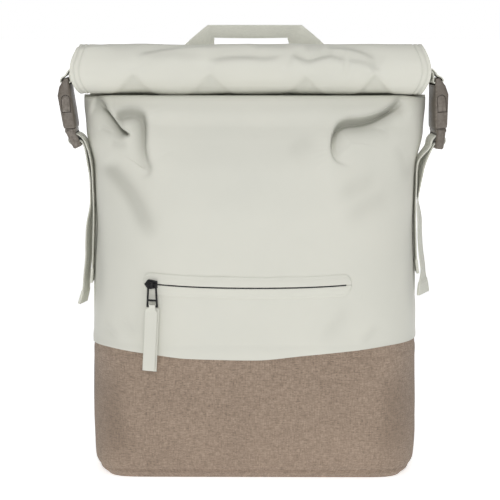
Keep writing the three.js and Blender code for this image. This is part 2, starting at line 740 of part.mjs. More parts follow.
// Side strap: sewn to the side seam, up behind the ladder, out over its middle bar, back in and
// down as the free end. Both ends are folded double.
function sideStrap(hanger) {
  const { side, turn, sway, twist, outs } = hanger;
  const [anchor, tail] = [hanger.anchor * neckHeight, hanger.tail * neckHeight];
  const clear = contactGap + webThick / 2;
  const atSide = (z, out) => new THREE.Vector3(side * (sideOf(z) + out), rollHeart, z);
  const top = besideLadder(hanger, 0, -ladderLength(2)).z;
  const points = [
    ...[0, 0.1, 0.3, 0.5, 0.7, 0.9].map((t) => atSide(mix(anchor, top, t), clear + (t > 0 ? 0.5 : 1.6))),
    ...ladderLacing(0, -1).map(([out, z]) => besideLadder(hanger, out, z)),
    ...tailShares.map((share, i) => atSide(mix(top, tail, share), outs[i])),
  ];
  const length = new THREE.CatmullRomCurve3(points, false, 'centripetal').getLength();
  const free = top - tail;
  const shape = (share) => {
    const [run, left] = [share * length, (1 - share) * length];
    const upper = turn * smoothstep(run, (top - anchor) * 0.9, (top - anchor) * 1.1);
    const lower = mix(twist, sway, smoothstep(left, 0, tailHem * 1.9));
    const double = Math.min(left, run) < tailHem;
    return {
      twist: mix(side * lower, upper, smoothstep(left, free * 0.5, free * 0.85)),
      thick: double ? webThick * 2 : webThick,
    };
  };
  return piece(`side_strap_${hanger.name}`, strip(webStations(points, alongY, shape)), webbing);
}

// Front pocket zip: a welt with a slit, lying on the front, and the chain in the slit.
const weltColumns = 16;
const zipLine = (x) => zipHeight + zipDip * (x / Math.max(-zipLeft, zipRight)) ** 2;

// Share across the body at which its outline reads x.
const acrossAt = (x, at) =>
  (Math.asin(clamp(x / (halfBody * section('wide', at)), -1, 1)) * 2) / Math.PI;

// Point of the front at a given x and z, standing off it.
function onFront(x, z, off) {
  const at = z / neckHeight;
  return frontFace(acrossAt(x, at), at, -off);
}

function frontPatch(left, right, tall, from, to, columns, rows) {
  const grid = (off) =>
    spread(rows).map((v) =>
      spread(columns).map((u) => {
        const x = mix(left, right, u);
        return onFront(x, zipLine(x) + (v - 0.5) * tall, off);
      }),
    );
  return sheet(grid(to), grid(from));
}

function pocketWelt() {
  const slit = chainTall + 2 * contactGap;
  const top = contactGap + weltThick;
  const plate = solidOf(frontPatch(zipLeft, zipRight, weltTall, contactGap, top, weltColumns, 3));
  const [left, right] = [zipLeft + slitInset, zipRight - slitInset];
  const cut = solidOf(frontPatch(left, right, slit, -1, weltThick + 3, weltColumns, 1));
  return piece('pocket_welt', geometryOf(plate.subtract(cut)), coated);
}

function zipChain() {
  const [left, right] = [zipLeft + slitInset + contactGap, zipRight - slitInset - contactGap];
  const top = contactGap + chainThick;
  return piece('zip_chain', frontPatch(left, right, chainTall, contactGap, top, weltColumns, 1), blackMetal);
}

// Slider, with a bridge that the pull's top bar turns in, and the pull with its cloth tab. In the
// slider's own frame y points into the bag and z up.
const pivotOut = sliderThick + 1.2;

function sliderFrame() {
  const z = zipLine(sliderAt);
  const seat = onFront(sliderAt, z, 2 * contactGap + weltThick);
  const ahead = onFront(sliderAt + 4, z, 0).sub(onFront(sliderAt - 4, z, 0));
  const frame = new THREE.Group();
  frame.name = 'slider_frame';
  frame.position.copy(seat);
  frame.rotation.z = Math.atan2(ahead.y, ahead.x);
  return frame;
}

function zipSlider() {
  const outline = new THREE.Shape();
  const [l, h] = [sliderLength / 2, sliderTall / 2];
  outline.moveTo(-l, 0);
  outline.lineTo(-l * 0.45, -h);
  outline.lineTo(l, -h * 0.72);
  outline.lineTo(l, h * 0.72);
  outline.lineTo(-l * 0.45, h);
  const plate = new THREE.ExtrudeGeometry(outline, { depth: sliderThick, bevelEnabled: false });
  plate.rotateX(Math.PI / 2);
  const bridgeTall = pullWire + 3.4;
  const bridgeOut = pullWire + 2.2;
  const bridge = block(2.6, bridgeOut, bridgeTall, pullShift, -sliderThick - bridgeOut / 2 + 0.2, 0);
  const hole = block(6, pullWire + 0.7, pullWire + 0.9, pullShift, -pivotOut, 0);
  return piece('zip_slider', geometryOf(solidOf(plate).add(bridge).subtract(hole)), blackMetal);
}

// Wire frame of two windows, a little wider at its foot. Its top bar lies in the bridge.
function pullFrame() {
  const half = (z) => mix(pullTopWidth, pullFootWidth, -z / pullLength) / 2;
  const corners = [[-1, -1], [1, -1], [1, 1], [-1, 1]];
  const slab = (foot, top, inset, thick) => {
    const ring = (z) => corners.map(([u, v]) => new THREE.Vector3(u * (half(z) - inset), (v * thick) / 2, z));
    return solidOf(loft([ring(foot), ring(top)]));
  };
  const [foot, top] = [pullWire / 2 - pullLength, pullWire / 2];
  const upper = slab(-pullCross + pullWire / 2, top - pullWire, pullWire, pullWire * 2);
  const lower = slab(foot + pullWire, -pullCross - pullWire / 2, pullWire, pullWire * 2);
  const frame = slab(foot, top, 0, pullWire).subtract(upper).subtract(lower);
  return piece('pull_frame', geometryOf(frame), blackMetal);
}

// Cloth tab folded round the frame's foot bar, narrowed to pass between its legs.
function pullTab() {
  const grip = pullWire / 2 + contactGap + 0.1;
  const foot = pullWire - pullLength;
  const neck = pullFootWidth - 2 * pullWire - 4 * contactGap;
  const cheek = grip + 0.9;
  const bodyTop = foot - pullWire / 2 - contactGap;
  const neckTop = foot + cheek;
  const neckFoot = bodyTop - 1.5;
  const top = block(neck, 2 * cheek, neckTop - neckFoot, 0, 0, (neckTop + neckFoot) / 2);
  const hole = block(pullFootWidth * 2, 2 * grip, 2 * grip, 0, 0, foot);
  const body = [
    { down: 0, thick: 2 * cheek, lean: 0, turn: 0 },
    { down: 0.1, thick: tabThick * 1.15, lean: 0.06, turn: 0.4 },
    { down: 0.4, thick: tabThick, lean: 0.35, turn: 1 },
    { down: 1, thick: tabThick, lean: 1, turn: 1 },
  ].map((row) => {
    const ring = roundedRing(tabWidth / 2, row.thick / 2, 0.6, bodyTop - row.down * tabLength);
    const turn = new THREE.Matrix4().makeRotationZ(rad(row.turn * tabTurn));
    return ring.map((p) => p.applyMatrix4(turn).add(new THREE.Vector3(-row.lean * tabLean, 0, 0)));
  });
  return piece('pull_tab', geometryOf(top.subtract(hole).add(solidOf(loft(body)))), coated);
}

// Grab handle: webbing folded double along the run and opened flat down to the back of the neck.
// outX and inX are shares of handleHalfRun, outDrop and inDrop are drops below handleRise as shares
// of handleDrop, and thick counts layers of webbing.
const handleTuck = 2.3;
const handleDrop = handleRise - (neckHeight - handleTuck);
const handleLegs = [
  { outX: 1, outDrop: 0, inX: 0.86, inDrop: 0.171, thick: 2 },
  { outX: 1.24, outDrop: 0.123, inX: 0.86, inDrop: 0.274, thick: 1.5 },
  { outX: 1.5, outDrop: 0.267, inX: 0.95, inDrop: 0.452, thick: 1 },
  { outX: 1.84, outDrop: 0.466, inX: 1.25, inDrop: 0.63, thick: 1 },
  { outX: 2.12, outDrop: 0.671, inX: 1.56, inDrop: 0.822, thick: 1 },
  { outX: 2.28, outDrop: 0.877, inX: 1.76, inDrop: 1, thick: 1 },
];

// How far back the bag reaches at a given x and height.
function backYAt(x, z) {
  const line = spread(160).map((t) => mix(0.6, 0.97, t));
  const at = line.find((s) => neckHeight * section('up', s) >= z) ?? 0.97;
  return backFace(acrossAt(x, at), at).y;
}

function grabHandle() {
  const stand = rollY + rollDepth / 2 + contactGap + handleWeb;
  const leg = (side) =>
    handleLegs.map((row) => {
      const place = (x, drop) => {
        const z = handleRise - drop * handleDrop;
        const low = backYAt(side * x * handleHalfRun, z) + contactGap + handleWeb / 2 + 0.6;
        const lean = 4 * smoothstep(z, handleRise - 45, handleRise);
        return new THREE.Vector3(side * x * handleHalfRun, Math.max(stand + lean, low), z);
      };
      const outer = place(row.outX, row.outDrop);
      const inner = place(row.inX, row.inDrop);
      const half = (row.thick * handleWeb) / 2;
      return [
        new THREE.Vector3(outer.x, outer.y - half, outer.z),
        new THREE.Vector3(inner.x, inner.y - half, inner.z),
        new THREE.Vector3(inner.x, inner.y + half, inner.z),
        new THREE.Vector3(outer.x, outer.y + half, outer.z),
      ];
    });
  return piece('grab_handle', loft([...leg(-1).reverse(), ...leg(1)]), webbing);
}

// Shoulder straps. down is a share from strapTop to strapEnd, splay of strapSplay, bow of strapBow.
const strapRows = [
  { down: 0, splay: 0, bow: 0, wide: 0.86, thick: 0.5 },
  { down: 0.06, splay: 0.03, bow: 0.1, wide: 0.94, thick: 0.8 },
  { down: 0.18, splay: 0.12, bow: 0.48, wide: 1, thick: 1 },
  { down: 0.34, splay: 0.3, bow: 0.85, wide: 1, thick: 1 },
  { down: 0.5, splay: 0.5, bow: 1, wide: 0.98, thick: 1 },
  { down: 0.68, splay: 0.72, bow: 0.9, wide: 0.93, thick: 1 },
  { down: 0.86, splay: 0.87, bow: 0.42, wide: 0.84, thick: 1 },
  { down: 0.96, splay: 0.955, bow: 0.26, wide: 0.7, thick: 0.9 },
  { down: 1, splay: 1, bow: 0.24, wide: 0.6, thick: 0.7 },
];

function strapMiddle(side, row) {
  const z = mix(strapTop, strapEnd, row.down);
  const x = side * (strapInset + row.splay * strapSplay);
  const off = contactGap + (strapThick * row.thick) / 2 + 0.6;
  return new THREE.Vector3(x, backYAt(x, Math.max(z, neckHeight * 0.6)) + off + row.bow * strapBow, z);
}

function shoulderStrap(side, name) {
  const middles = strapRows.map((row) => strapMiddle(side, row));
  const rings = strapRows.map((row, i) => {
    const along = middles[Math.min(i + 1, middles.length - 1)].clone().sub(middles[Math.max(i - 1, 0)]);
    const wide = alongX.clone().addScaledVector(along, -alongX.dot(along) / along.lengthSq()).normalize();
    const out = wide.clone().cross(along.normalize());
    const thick = strapThick * row.thick;
    const ring = roundedRing((strapWidth * row.wide) / 2, thick / 2, thick * 0.4, 0);
    return ring.map((p) => middles[i].clone().addScaledVector(wide, p.x).addScaledVector(out, p.y));
  });
  return piece(name, loft(rings), coated);
}

// Under each strap's end: a sewn loop, the ladder adjuster it holds and the web that runs from the
// base through the ladder. The ladder leans with the line from the strap's end to the web's anchor.
function strapHardware(side, name) {
  const end = strapMiddle(side, strapRows.at(-1));
  const anchor = new THREE.Vector3(
    side * (halfBody - webWidth),
    backDepth + contactGap + webThick / 2,
    webAnchorHeight,
  );
  const down = anchor.clone().sub(end).normalize();
  const across = alongX.clone().addScaledVector(down, -alongX.dot(down)).normalize();
  const inwards = down.clone().cross(across).normalize();
  const frame = new THREE.Matrix4()
    .makeBasis(inwards, across, inwards.clone().cross(across))
    .setPosition(end.clone().addScaledVector(down, contactGap + 1.2));
  const local = ([x, z]) => new THREE.Vector3(x, 0, z).applyMatrix4(frame);
  const clear = contactGap + webThick / 2;
  const foot = local([0, -ladderLength(3)]);
  const tailPoint = (share, off) => {
    const z = mix(foot.z, webTailHeight, share);
    const x = mix(foot.x, anchor.x, ((foot.z - z) / (foot.z - anchor.z)) * 0.9);
    return new THREE.Vector3(x, foot.y + off, z);
  };
  const loopFace = Math.max(ladderThick, strapThick * strapRows.at(-1).thick) / 2 + clear;
  const loopSide = (s) => [
    [s * (loopFace + 2.4), loopReach],
    [s * (loopFace + 0.9), 2],
    [s * (loopFace + 0.7), -ladderBar * 0.7],
    [s * ladderThick * 0.36, -ladderBar - clear - 0.8],
  ];
  const loop = [...loopSide(1), ...loopSide(-1).reverse()].map(local);
  const web = [
    anchor,
    new THREE.Vector3(anchor.x - side * 2.5, anchor.y + 0.6, webAnchorHeight + 12),
    ...ladderLacing(1, 1).map(local),
    tailPoint(0.3, 3),
    tailPoint(0.7, 7),
    tailPoint(1, 9),
  ];
  return [
    piece(`strap_loop_${name}`, strip(webStations(loop, across)), webbing),
    piece(`adjuster_${name}`, geometryOf(ladderSolid(3).transform(frame.elements)), plastic),
    piece(`strap_web_${name}`, strip(webStations(web, across)), webbing),
  ];
}

const bag = new THREE.Group();
bag.name = 'rolltop_backpack';
bag.add(upperPanel('front_panel', -1, 28, 18, 5));
bag.add(upperPanel('back_panel', 1, 12, 9, 5));
bag.add(baseCup());
bag.add(rolledTop());
hangers.forEach((hanger) => {
  const buckle = new THREE.Group();
  buckle.applyMatrix4(buckleFrame(hanger));
  buckle.add(piece(`buckle_socket_${hanger.name}`, socketGeometry(hanger.side), plastic));
  buckle.add(piece(`buckle_plug_${hanger.name}`, plugGeometry(hanger), plastic));
  bag.add(buckle, mouthWeb(hanger), sideStrap(hanger));
});
bag.add(pocketWelt(), zipChain());
const sliderGroup = sliderFrame();
const pull = new THREE.Group();
pull.name = 'pull_pivot';
pull.position.set(pullShift, -pivotOut, 0);
pull.add(pullFrame(), pullTab());
sliderGroup.add(zipSlider(), pull);
bag.add(sliderGroup, grabHandle());
hangers.forEach(({ side, name }) => {
  bag.add(shoulderStrap(side, `shoulder_strap_${name}`), ...strapHardware(side, name));
});

export default bag;
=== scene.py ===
import math

import bmesh
import bpy
import numpy as np
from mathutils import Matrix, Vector


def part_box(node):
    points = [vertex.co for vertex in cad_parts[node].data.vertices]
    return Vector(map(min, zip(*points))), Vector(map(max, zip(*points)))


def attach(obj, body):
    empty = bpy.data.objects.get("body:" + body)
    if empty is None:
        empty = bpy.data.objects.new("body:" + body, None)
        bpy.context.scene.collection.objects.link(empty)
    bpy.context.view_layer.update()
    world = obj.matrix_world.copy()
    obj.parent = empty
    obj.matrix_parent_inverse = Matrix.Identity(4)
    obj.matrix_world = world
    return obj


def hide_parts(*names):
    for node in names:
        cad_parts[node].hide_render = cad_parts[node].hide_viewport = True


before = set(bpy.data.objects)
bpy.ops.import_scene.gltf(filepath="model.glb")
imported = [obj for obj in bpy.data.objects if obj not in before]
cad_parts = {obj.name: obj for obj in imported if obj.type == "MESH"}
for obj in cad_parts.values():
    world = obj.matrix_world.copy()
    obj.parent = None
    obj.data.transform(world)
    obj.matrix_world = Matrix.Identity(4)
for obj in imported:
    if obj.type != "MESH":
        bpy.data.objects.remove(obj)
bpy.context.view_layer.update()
print("Frame loaded with", len(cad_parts), "nodes")

# A rolltop backpack. Shapes are worked out in millimetres, +Z up, the front towards -Y,
# and go into the frame in metres.
mm = 0.001
sharpAngle = 40.0  # degrees past which an edge of a new piece is shaded as a corner

# Camera and studio
picture = {
    "aim": (-0.0045, 0.0, 0.2207),
    "distance": 1.5,
    "elevation": 10.0,  # degrees above the bag's middle
    "yaw": 0.5,
    "lens": 108.0,
}
studio = {
    "world": 0.22,  # even light from all round; the camera itself sees white
    "aim": (0.0, 0.0, 0.22),
    "softboxes": (  # name, place, size and watts; the front one is the key light
        ("frontSoftbox", (-0.05, -2.3, 1.25), (1.2, 0.8), 20.2),
        ("sideSoftbox", (2.4, -0.9, 0.9), (1.4, 1.6), 1.2),
        ("topSoftbox", (0.0, -0.5, 2.6), (2.0, 2.0), 17.0),
        ("backSoftbox", (0.3, 2.6, 1.2), (2.2, 1.8), 12.0),
    ),
    "floorHalf": 12.0,
    "floorColour": (0.88, 0.88, 0.88),
    "floorNear": 0.12,  # how much the floor glows just in front of the bag
    "floorFades": (  # from this y to that y it grows to this much; the largest of them counts
        (-0.7, -0.22, 0.62),
        (-2.0, -3.2, 1.0),
        (0.5, 2.0, 1.0),
    ),
}


def addCamera():
    up, turn = math.radians(picture["elevation"]), math.radians(picture["yaw"])
    back = Vector((math.sin(turn) * math.cos(up), -math.cos(turn) * math.cos(up), math.sin(up)))
    data = bpy.data.cameras.new("photoCamera")
    data.lens = picture["lens"]
    data.sensor_width = 36.0
    data.clip_start, data.clip_end = 0.05, 50.0
    camera = bpy.data.objects.new("photoCamera", data)
    camera.rotation_mode = "QUATERNION"
    camera.location = Vector(picture["aim"]) + back * picture["distance"]
    camera.rotation_quaternion = (-back).to_track_quat("-Z", "Y")
    bpy.context.scene.collection.objects.link(camera)
    bpy.context.scene.camera = camera


def addSoftbox(name, place, size, power):
    data = bpy.data.lights.new(name, "AREA")
    data.shape = "RECTANGLE"
    data.size, data.size_y = size
    data.energy = power
    light = bpy.data.objects.new(name, data)
    light.location = place
    light.rotation_mode = "QUATERNION"
    light.rotation_quaternion = (Vector(studio["aim"]) - Vector(place)).to_track_quat("-Z", "Y")
    bpy.context.scene.collection.objects.link(light)


def addStudio():
    world = bpy.data.worlds.new("studioWorld")
    world.use_nodes = True
    nodes, links = world.node_tree.nodes, world.node_tree.links
    seen, strength = nodes.new("ShaderNodeLightPath"), nodes.new("ShaderNodeMapRange")
    strength.inputs["To Min"].default_value, strength.inputs["To Max"].default_value = studio["world"], 1.0
    links.new(seen.outputs["Is Camera Ray"], strength.inputs["Value"])
    links.new(strength.outputs["Result"], nodes["Background"].inputs["Strength"])
    nodes["Background"].inputs["Color"].default_value = (1, 1, 1, 1)
    bpy.context.scene.world = world
    bpy.context.scene.view_settings.view_transform = "Standard"
    for softbox in studio["softboxes"]:
        addSoftbox(*softbox)
    mesh = bpy.data.meshes.new("studioFloor")
    half = studio["floorHalf"]
    corners = [(-half, -half, 0), (half, -half, 0), (half, half, 0), (-half, half, 0)]
    mesh.from_pydata(corners, [], [(0, 1, 2, 3)])
    floor = bpy.data.objects.new("studioFloor", mesh)
    bpy.context.scene.collection.objects.link(floor)
    pale = bpy.data.materials.new("paleFloor")
    pale.use_nodes = True
    shader = pale.node_tree.nodes["Principled BSDF"]
    shader.inputs["Base Color"].default_value = (*studio["floorColour"], 1)
    shader.inputs["Roughness"].default_value = 0.8
    shader.inputs["Emission Color"].default_value = (1, 1, 1, 1)
    nodes, links = pale.node_tree.nodes, pale.node_tree.links
    place, split = nodes.new("ShaderNodeTexCoord"), nodes.new("ShaderNodeSeparateXYZ")
    links.new(place.outputs["Object"], split.inputs[0])
    brightest = None
    for dim, bright, glow in studio["floorFades"]:
        fade = nodes.new("ShaderNodeMapRange")
        fade.inputs["From Min"].default_value, fade.inputs["From Max"].default_value = dim, bright
        fade.inputs["To Min"].default_value, fade.inputs["To Max"].default_value = studio["floorNear"], glow
        links.new(split.outputs["Y"], fade.inputs["Value"])
        larger = nodes.new("ShaderNodeMath")
        larger.operation = "MAXIMUM"
        links.new(fade.outputs["Result"], larger.inputs[0])
        if brightest:
            links.new(brightest, larger.inputs[1])
        brightest = larger.outputs[0]
    links.new(brightest, shader.inputs["Emission Strength"])
    mesh.materials.append(pale)


addCamera()
addStudio()
print("Camera and studio ready")


# Reading tables, smooth noise and curves, all on whole arrays
def readTable(table, column, at):
    # cubic through the rows with no overshoot: each slope is the harmonic mean of the rises beside it
    x, y = np.array(table["at"], float), np.array(table[column], float)
    rise = np.diff(y) / np.diff(x)
    both = rise[:-1] * rise[1:]
    inner = np.where(both > 0, 2 * both / np.where(both > 0, rise[:-1] + rise[1:], 1), 0)
    slope = np.concatenate([rise[:1], inner, rise[-1:]])
    at = np.clip(at, x[0], x[-1])
    i = np.clip(np.searchsorted(x, at, side="right") - 1, 0, len(x) - 2)
    span = x[i + 1] - x[i]
    t = (at - x[i]) / span
    return (
        (2 * t**3 - 3 * t**2 + 1) * y[i]
        + (t**3 - 2 * t**2 + t) * span * slope[i]
        + (3 * t**2 - 2 * t**3) * y[i + 1]
        + (t**3 - t**2) * span * slope[i + 1]
    )


def ease(x, low, high):
    # 0 below low, 1 above high, smooth between
    t = np.clip((x - low) / (high - low), 0, 1)
    return t * t * (3 - 2 * t)


def soften(x, width):
    # a smooth step from 0 to 1 across zero
    return 0.5 + 0.5 * np.tanh(x / width)


def softNoise(x, y, size, seed):
    # value noise: random heights on a lattice of that size, eased between its corners
    lattice = np.random.default_rng(seed).uniform(-1, 1, (97, 97))
    u, v = x / size + 1000.0, y / size + 1000.0
    i, j = np.floor(u).astype(int), np.floor(v).astype(int)
    s, t = u - i, v - j
    s, t = s * s * (3 - 2 * s), t * t * (3 - 2 * t)
    pick = lambda a, b: lattice[a % 97, b % 97]
    low = pick(i, j) * (1 - s) + pick(i + 1, j) * s
    high = pick(i, j + 1) * (1 - s) + pick(i + 1, j + 1) * s
    return low * (1 - t) + high * t


def curveThrough(points, count):
    # centripetal spline through the points, then count points along it at even lengths
    p = np.array(points, float)
    p = np.vstack([2 * p[0] - p[1], p, 2 * p[-1] - p[-2]])
    gap = np.sqrt(np.linalg.norm(np.diff(p, axis=0), axis=1))[:, None]
    d0, d1, d2 = gap[:-2], gap[1:-1], gap[2:]
    a, b, c, d = p[:-3], p[1:-2], p[2:-1], p[3:]
    t1 = ((b - a) / d0 - (c - a) / (d0 + d1) + (c - b) / d1) * d1
    t2 = ((c - b) / d1 - (d - b) / (d1 + d2) + (d - c) / d2) * d1
    t = np.linspace(0, 1, 60, endpoint=False)[:, None, None]
    fine = b + t * t1 + t**2 * (3 * (c - b) - 2 * t1 - t2) + t**3 * (2 * (b - c) + t1 + t2)
    fine = np.vstack([fine.transpose(1, 0, 2).reshape(-1, p.shape[1]), p[-2]])
    length = runAlong(fine)
    even = np.linspace(0, length[-1], count)
    return np.stack([np.interp(even, length, fine[:, k]) for k in range(p.shape[1])], -1)


def runAlong(path):
    # length along a line of points, up to each of them
    return np.concatenate([[0], np.cumsum(np.linalg.norm(np.diff(path, axis=0), axis=1))])


def unit(v):
    return v / np.maximum(np.linalg.norm(v, axis=-1, keepdims=True), 1e-9)


# Building meshes out of grids
def gridPatch(points, uv):
    # quads between neighbours of a grid of points
    rows, cols = points.shape[:2]
    k = np.arange(rows * cols).reshape(rows, cols)
    quads = np.stack([k[:-1, :-1], k[:-1, 1:], k[1:, 1:], k[1:, :-1]], -1).reshape(-1, 4)
    return {"points": points.reshape(-1, 3), "uv": uv.reshape(-1, 2), "faces": [quads]}


def rimFaces(fine, coarse, step):
    # triangles between a fine edge and a coarse one that has a point for each step of it
    i = np.arange(len(fine) - 1)
    near = np.floor((i + 0.5) / step + 0.5).astype(int)
    ears = np.stack([fine[i], fine[i + 1], coarse[near]], -1)
    j = np.arange(len(coarse) - 1)
    switch = step * j + (step - 1) // 2
    return [ears, np.stack([coarse[j], coarse[j + 1], fine[switch]], -1)]


def wallPatch(outer, inner, uv, step):
    # a closed wall: a fine outer grid, an inner grid of every step-th row and column, and their rims
    rows, cols = outer.shape[:2]
    f = np.arange(rows * cols).reshape(rows, cols)
    r, c = inner.shape[:2]
    g = rows * cols + np.arange(r * c).reshape(r, c)
    quads = [np.stack([k[:-1, :-1], k[:-1, 1:], k[1:, 1:], k[1:, :-1]], -1).reshape(-1, 4) for k in (f, g)]
    tris = []
    for edge in (np.s_[0, :], np.s_[-1, :], np.s_[:, 0], np.s_[:, -1]):
        tris += rimFaces(f[edge], g[edge], step)
    uvInner = uv[::step, ::step]
    return {
        "points": np.concatenate([outer.reshape(-1, 3), inner.reshape(-1, 3)]),
        "uv": np.concatenate([uv.reshape(-1, 2), uvInner.reshape(-1, 2)]),
        "faces": quads + tris,
    }


def sweepPatch(path, wide, ringAcross, ringOut):
    # a closed profile carried along a path: each ring point is path + across * wide + out * (along x wide)
    along = unit(np.gradient(path, axis=0))
    wide = unit(wide - along * np.sum(along * wide, -1, keepdims=True))
    out = np.cross(along, wide)
    across, off = np.broadcast_arrays(ringAcross, ringOut)
    across = np.broadcast_to(across, (len(path), across.shape[-1]))
    off = np.broadcast_to(off, across.shape)
    rings = path[:, None] + across[..., None] * wide[:, None] + off[..., None] * out[:, None]
    rings = np.concatenate([rings, rings[:, :1]], 1)
    girth = runAlong(rings[0])
    run = runAlong(path)
    uv = np.stack(np.broadcast_arrays(girth[None, :], run[:, None]), -1)
    ends = [np.broadcast_to(rings[k].mean(0), rings[k].shape)[None] for k in (0, -1)]
    rings = np.concatenate([ends[0], rings, ends[1]])
    uv = np.concatenate([uv[:1], uv, uv[-1:]])
    return gridPatch(rings, uv)


def buildPiece(name, patches, material, body, nodes=()):
    # joins patches, welds their seams and poles, turns the faces out and puts the piece on its body
    points, uv, shade, faces, start = [], [], [], [], 0
    for patch in patches:
        points.append(patch["points"])
        uv.append(patch["uv"])
        shade.append(patch.get("shade", np.zeros(len(patch["points"]))))
        faces += [(block + start).tolist() for block in patch["faces"]]
        start += len(patch["points"])
    points, uv = np.concatenate(points) * mm, np.concatenate(uv)
    mesh = bpy.data.meshes.new(name)
    mesh.from_pydata(points, [], [face for block in faces for face in block])
    corner = np.zeros(len(mesh.loops), np.int32)
    mesh.loops.foreach_get("vertex_index", corner)
    mesh.uv_layers.new(name="cloth")
    mesh.uv_layers["cloth"].data.foreach_set("uv", uv[corner].astype(np.float32).ravel())
    # the shade painted into each point's colour in the folds
    paintedShade = mesh.attributes.new("paintedFoldShade", "FLOAT", "POINT")
    paintedShade.data.foreach_set("value", np.concatenate(shade).astype(np.float32))
    bm = bmesh.new()
    bm.from_mesh(mesh)
    bmesh.ops.remove_doubles(bm, verts=bm.verts, dist=2e-6)
    bmesh.ops.recalc_face_normals(bm, faces=bm.faces)
    bm.to_mesh(mesh)
    bm.free()
    mesh.shade_smooth()
    mesh.set_sharp_from_angle(angle=math.radians(sharpAngle))
    piece = bpy.data.objects.new(name, mesh)
    bpy.context.scene.collection.objects.link(piece)
    mesh.materials.append(material)
    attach(piece, body)
    if nodes:
        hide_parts(*nodes)
    return piece


def stitchPatch(start, end, out, radius):
    # small pointed capsules from start to end, lying on a surface that faces out
    along = unit(end - start)
    side = unit(np.cross(out, along))
    up = np.cross(along, side)
    angle = np.linspace(0, 2 * np.pi, 6, endpoint=False)
    ringAt, ringSize = np.array([0, 0.22, 0.78, 1.0]), np.array([0.25, 1.0, 1.0, 0.25])
    centre = start[:, None] + (end - start)[:, None] * ringAt[None, :, None]
    spoke = np.cos(angle)[None, :, None] * side[:, None] + np.sin(angle)[None, :, None] * up[:, None]
    points = centre[:, :, None] + radius * ringSize[None, :, None, None] * spoke[:, None]
    k = np.arange(24).reshape(4, 6)
    walls = np.stack([k[:-1], np.roll(k[:-1], -1, 1), np.roll(k[1:], -1, 1), k[1:]], -1).reshape(-1, 4)
    caps = np.array([[0, 1, 2, 3], [0, 3, 4, 5], [18, 19, 20, 21], [18, 21, 22, 23]])
    shift = 24 * np.arange(len(start))[:, None, None]
    quads = (np.concatenate([walls, caps])[None] + shift).reshape(-1, 4)
    flat = points.reshape(-1, 3)
    return {"points": flat, "uv": flat[:, [0, 2]], "faces": [quads]}


def stitchRow(path, out, pitch=3.0, length=2.1, radius=0.26):
    # stitches at an even pitch along a path, their middles 0.3 of the radius above it
    run = runAlong(path)
    at = np.arange(pitch * 0.6, run[-1] - pitch * 0.4, pitch)
    read = lambda values, where: np.stack([np.interp(where, run, values[:, k]) for k in range(3)], -1)
    out = np.broadcast_to(out, path.shape)
    lift = unit(read(out, at)) * radius * 0.3
    start, end = read(path, at - length / 2) + lift, read(path, at + length / 2) + lift
    return stitchPatch(start, end, read(out, at), radius)


# Shader helpers: groups put out only values, colours and normals
def link(tree, value, socket):
    # a number or a colour goes into the socket itself, anything else is wired to it
    if isinstance(value, (int, float, tuple)):
        socket.default_value = value
    else:
        tree.links.new(value, socket)


def maths(tree, operation, *values):
    node = tree.nodes.new("ShaderNodeMath")
    node.operation = operation
    for k, value in enumerate(values):
        link(tree, value, node.inputs[k])
    return node.outputs[0]


def noise(tree, vector, scale, detail=2.0, roughness=0.5):
    node = tree.nodes.new("ShaderNodeTexNoise")
    link(tree, vector, node.inputs["Vector"])
    link(tree, scale, node.inputs["Scale"])
    node.inputs["Detail"].default_value = detail
    node.inputs["Roughness"].default_value = roughness
    return node.outputs["Fac"]


def mixColour(tree, factor, first, second):
    node = tree.nodes.new("ShaderNodeMix")
    node.data_type = "RGBA"
    link(tree, factor, node.inputs["Factor"])
    link(tree, first, node.inputs[6])
    link(tree, second, node.inputs[7])
    return node.outputs[2]


def remap(tree, value, low, high, toLow=0.0, toHigh=1.0):
    node = tree.nodes.new("ShaderNodeMapRange")
    link(tree, value, node.inputs["Value"])
    for name, number in (("From Min", low), ("From Max", high), ("To Min", toLow), ("To Max", toHigh)):
        link(tree, number, node.inputs[name])
    return node.outputs["Result"]


def newGroup(name, inputs, outputs):
    tree = bpy.data.node_groups.new(name, "ShaderNodeTree")
    for label, kind, value in inputs:
        socket = tree.interface.new_socket(name=label, in_out="INPUT", socket_type=kind)
        if value is not None:
            socket.default_value = value
    for label in outputs:
        tree.interface.new_socket(name=label, in_out="OUTPUT", socket_type="NodeSocketFloat")
    source, sink = tree.nodes.new("NodeGroupInput"), tree.nodes.new("NodeGroupOutput")
    return tree, source.outputs, sink.inputs


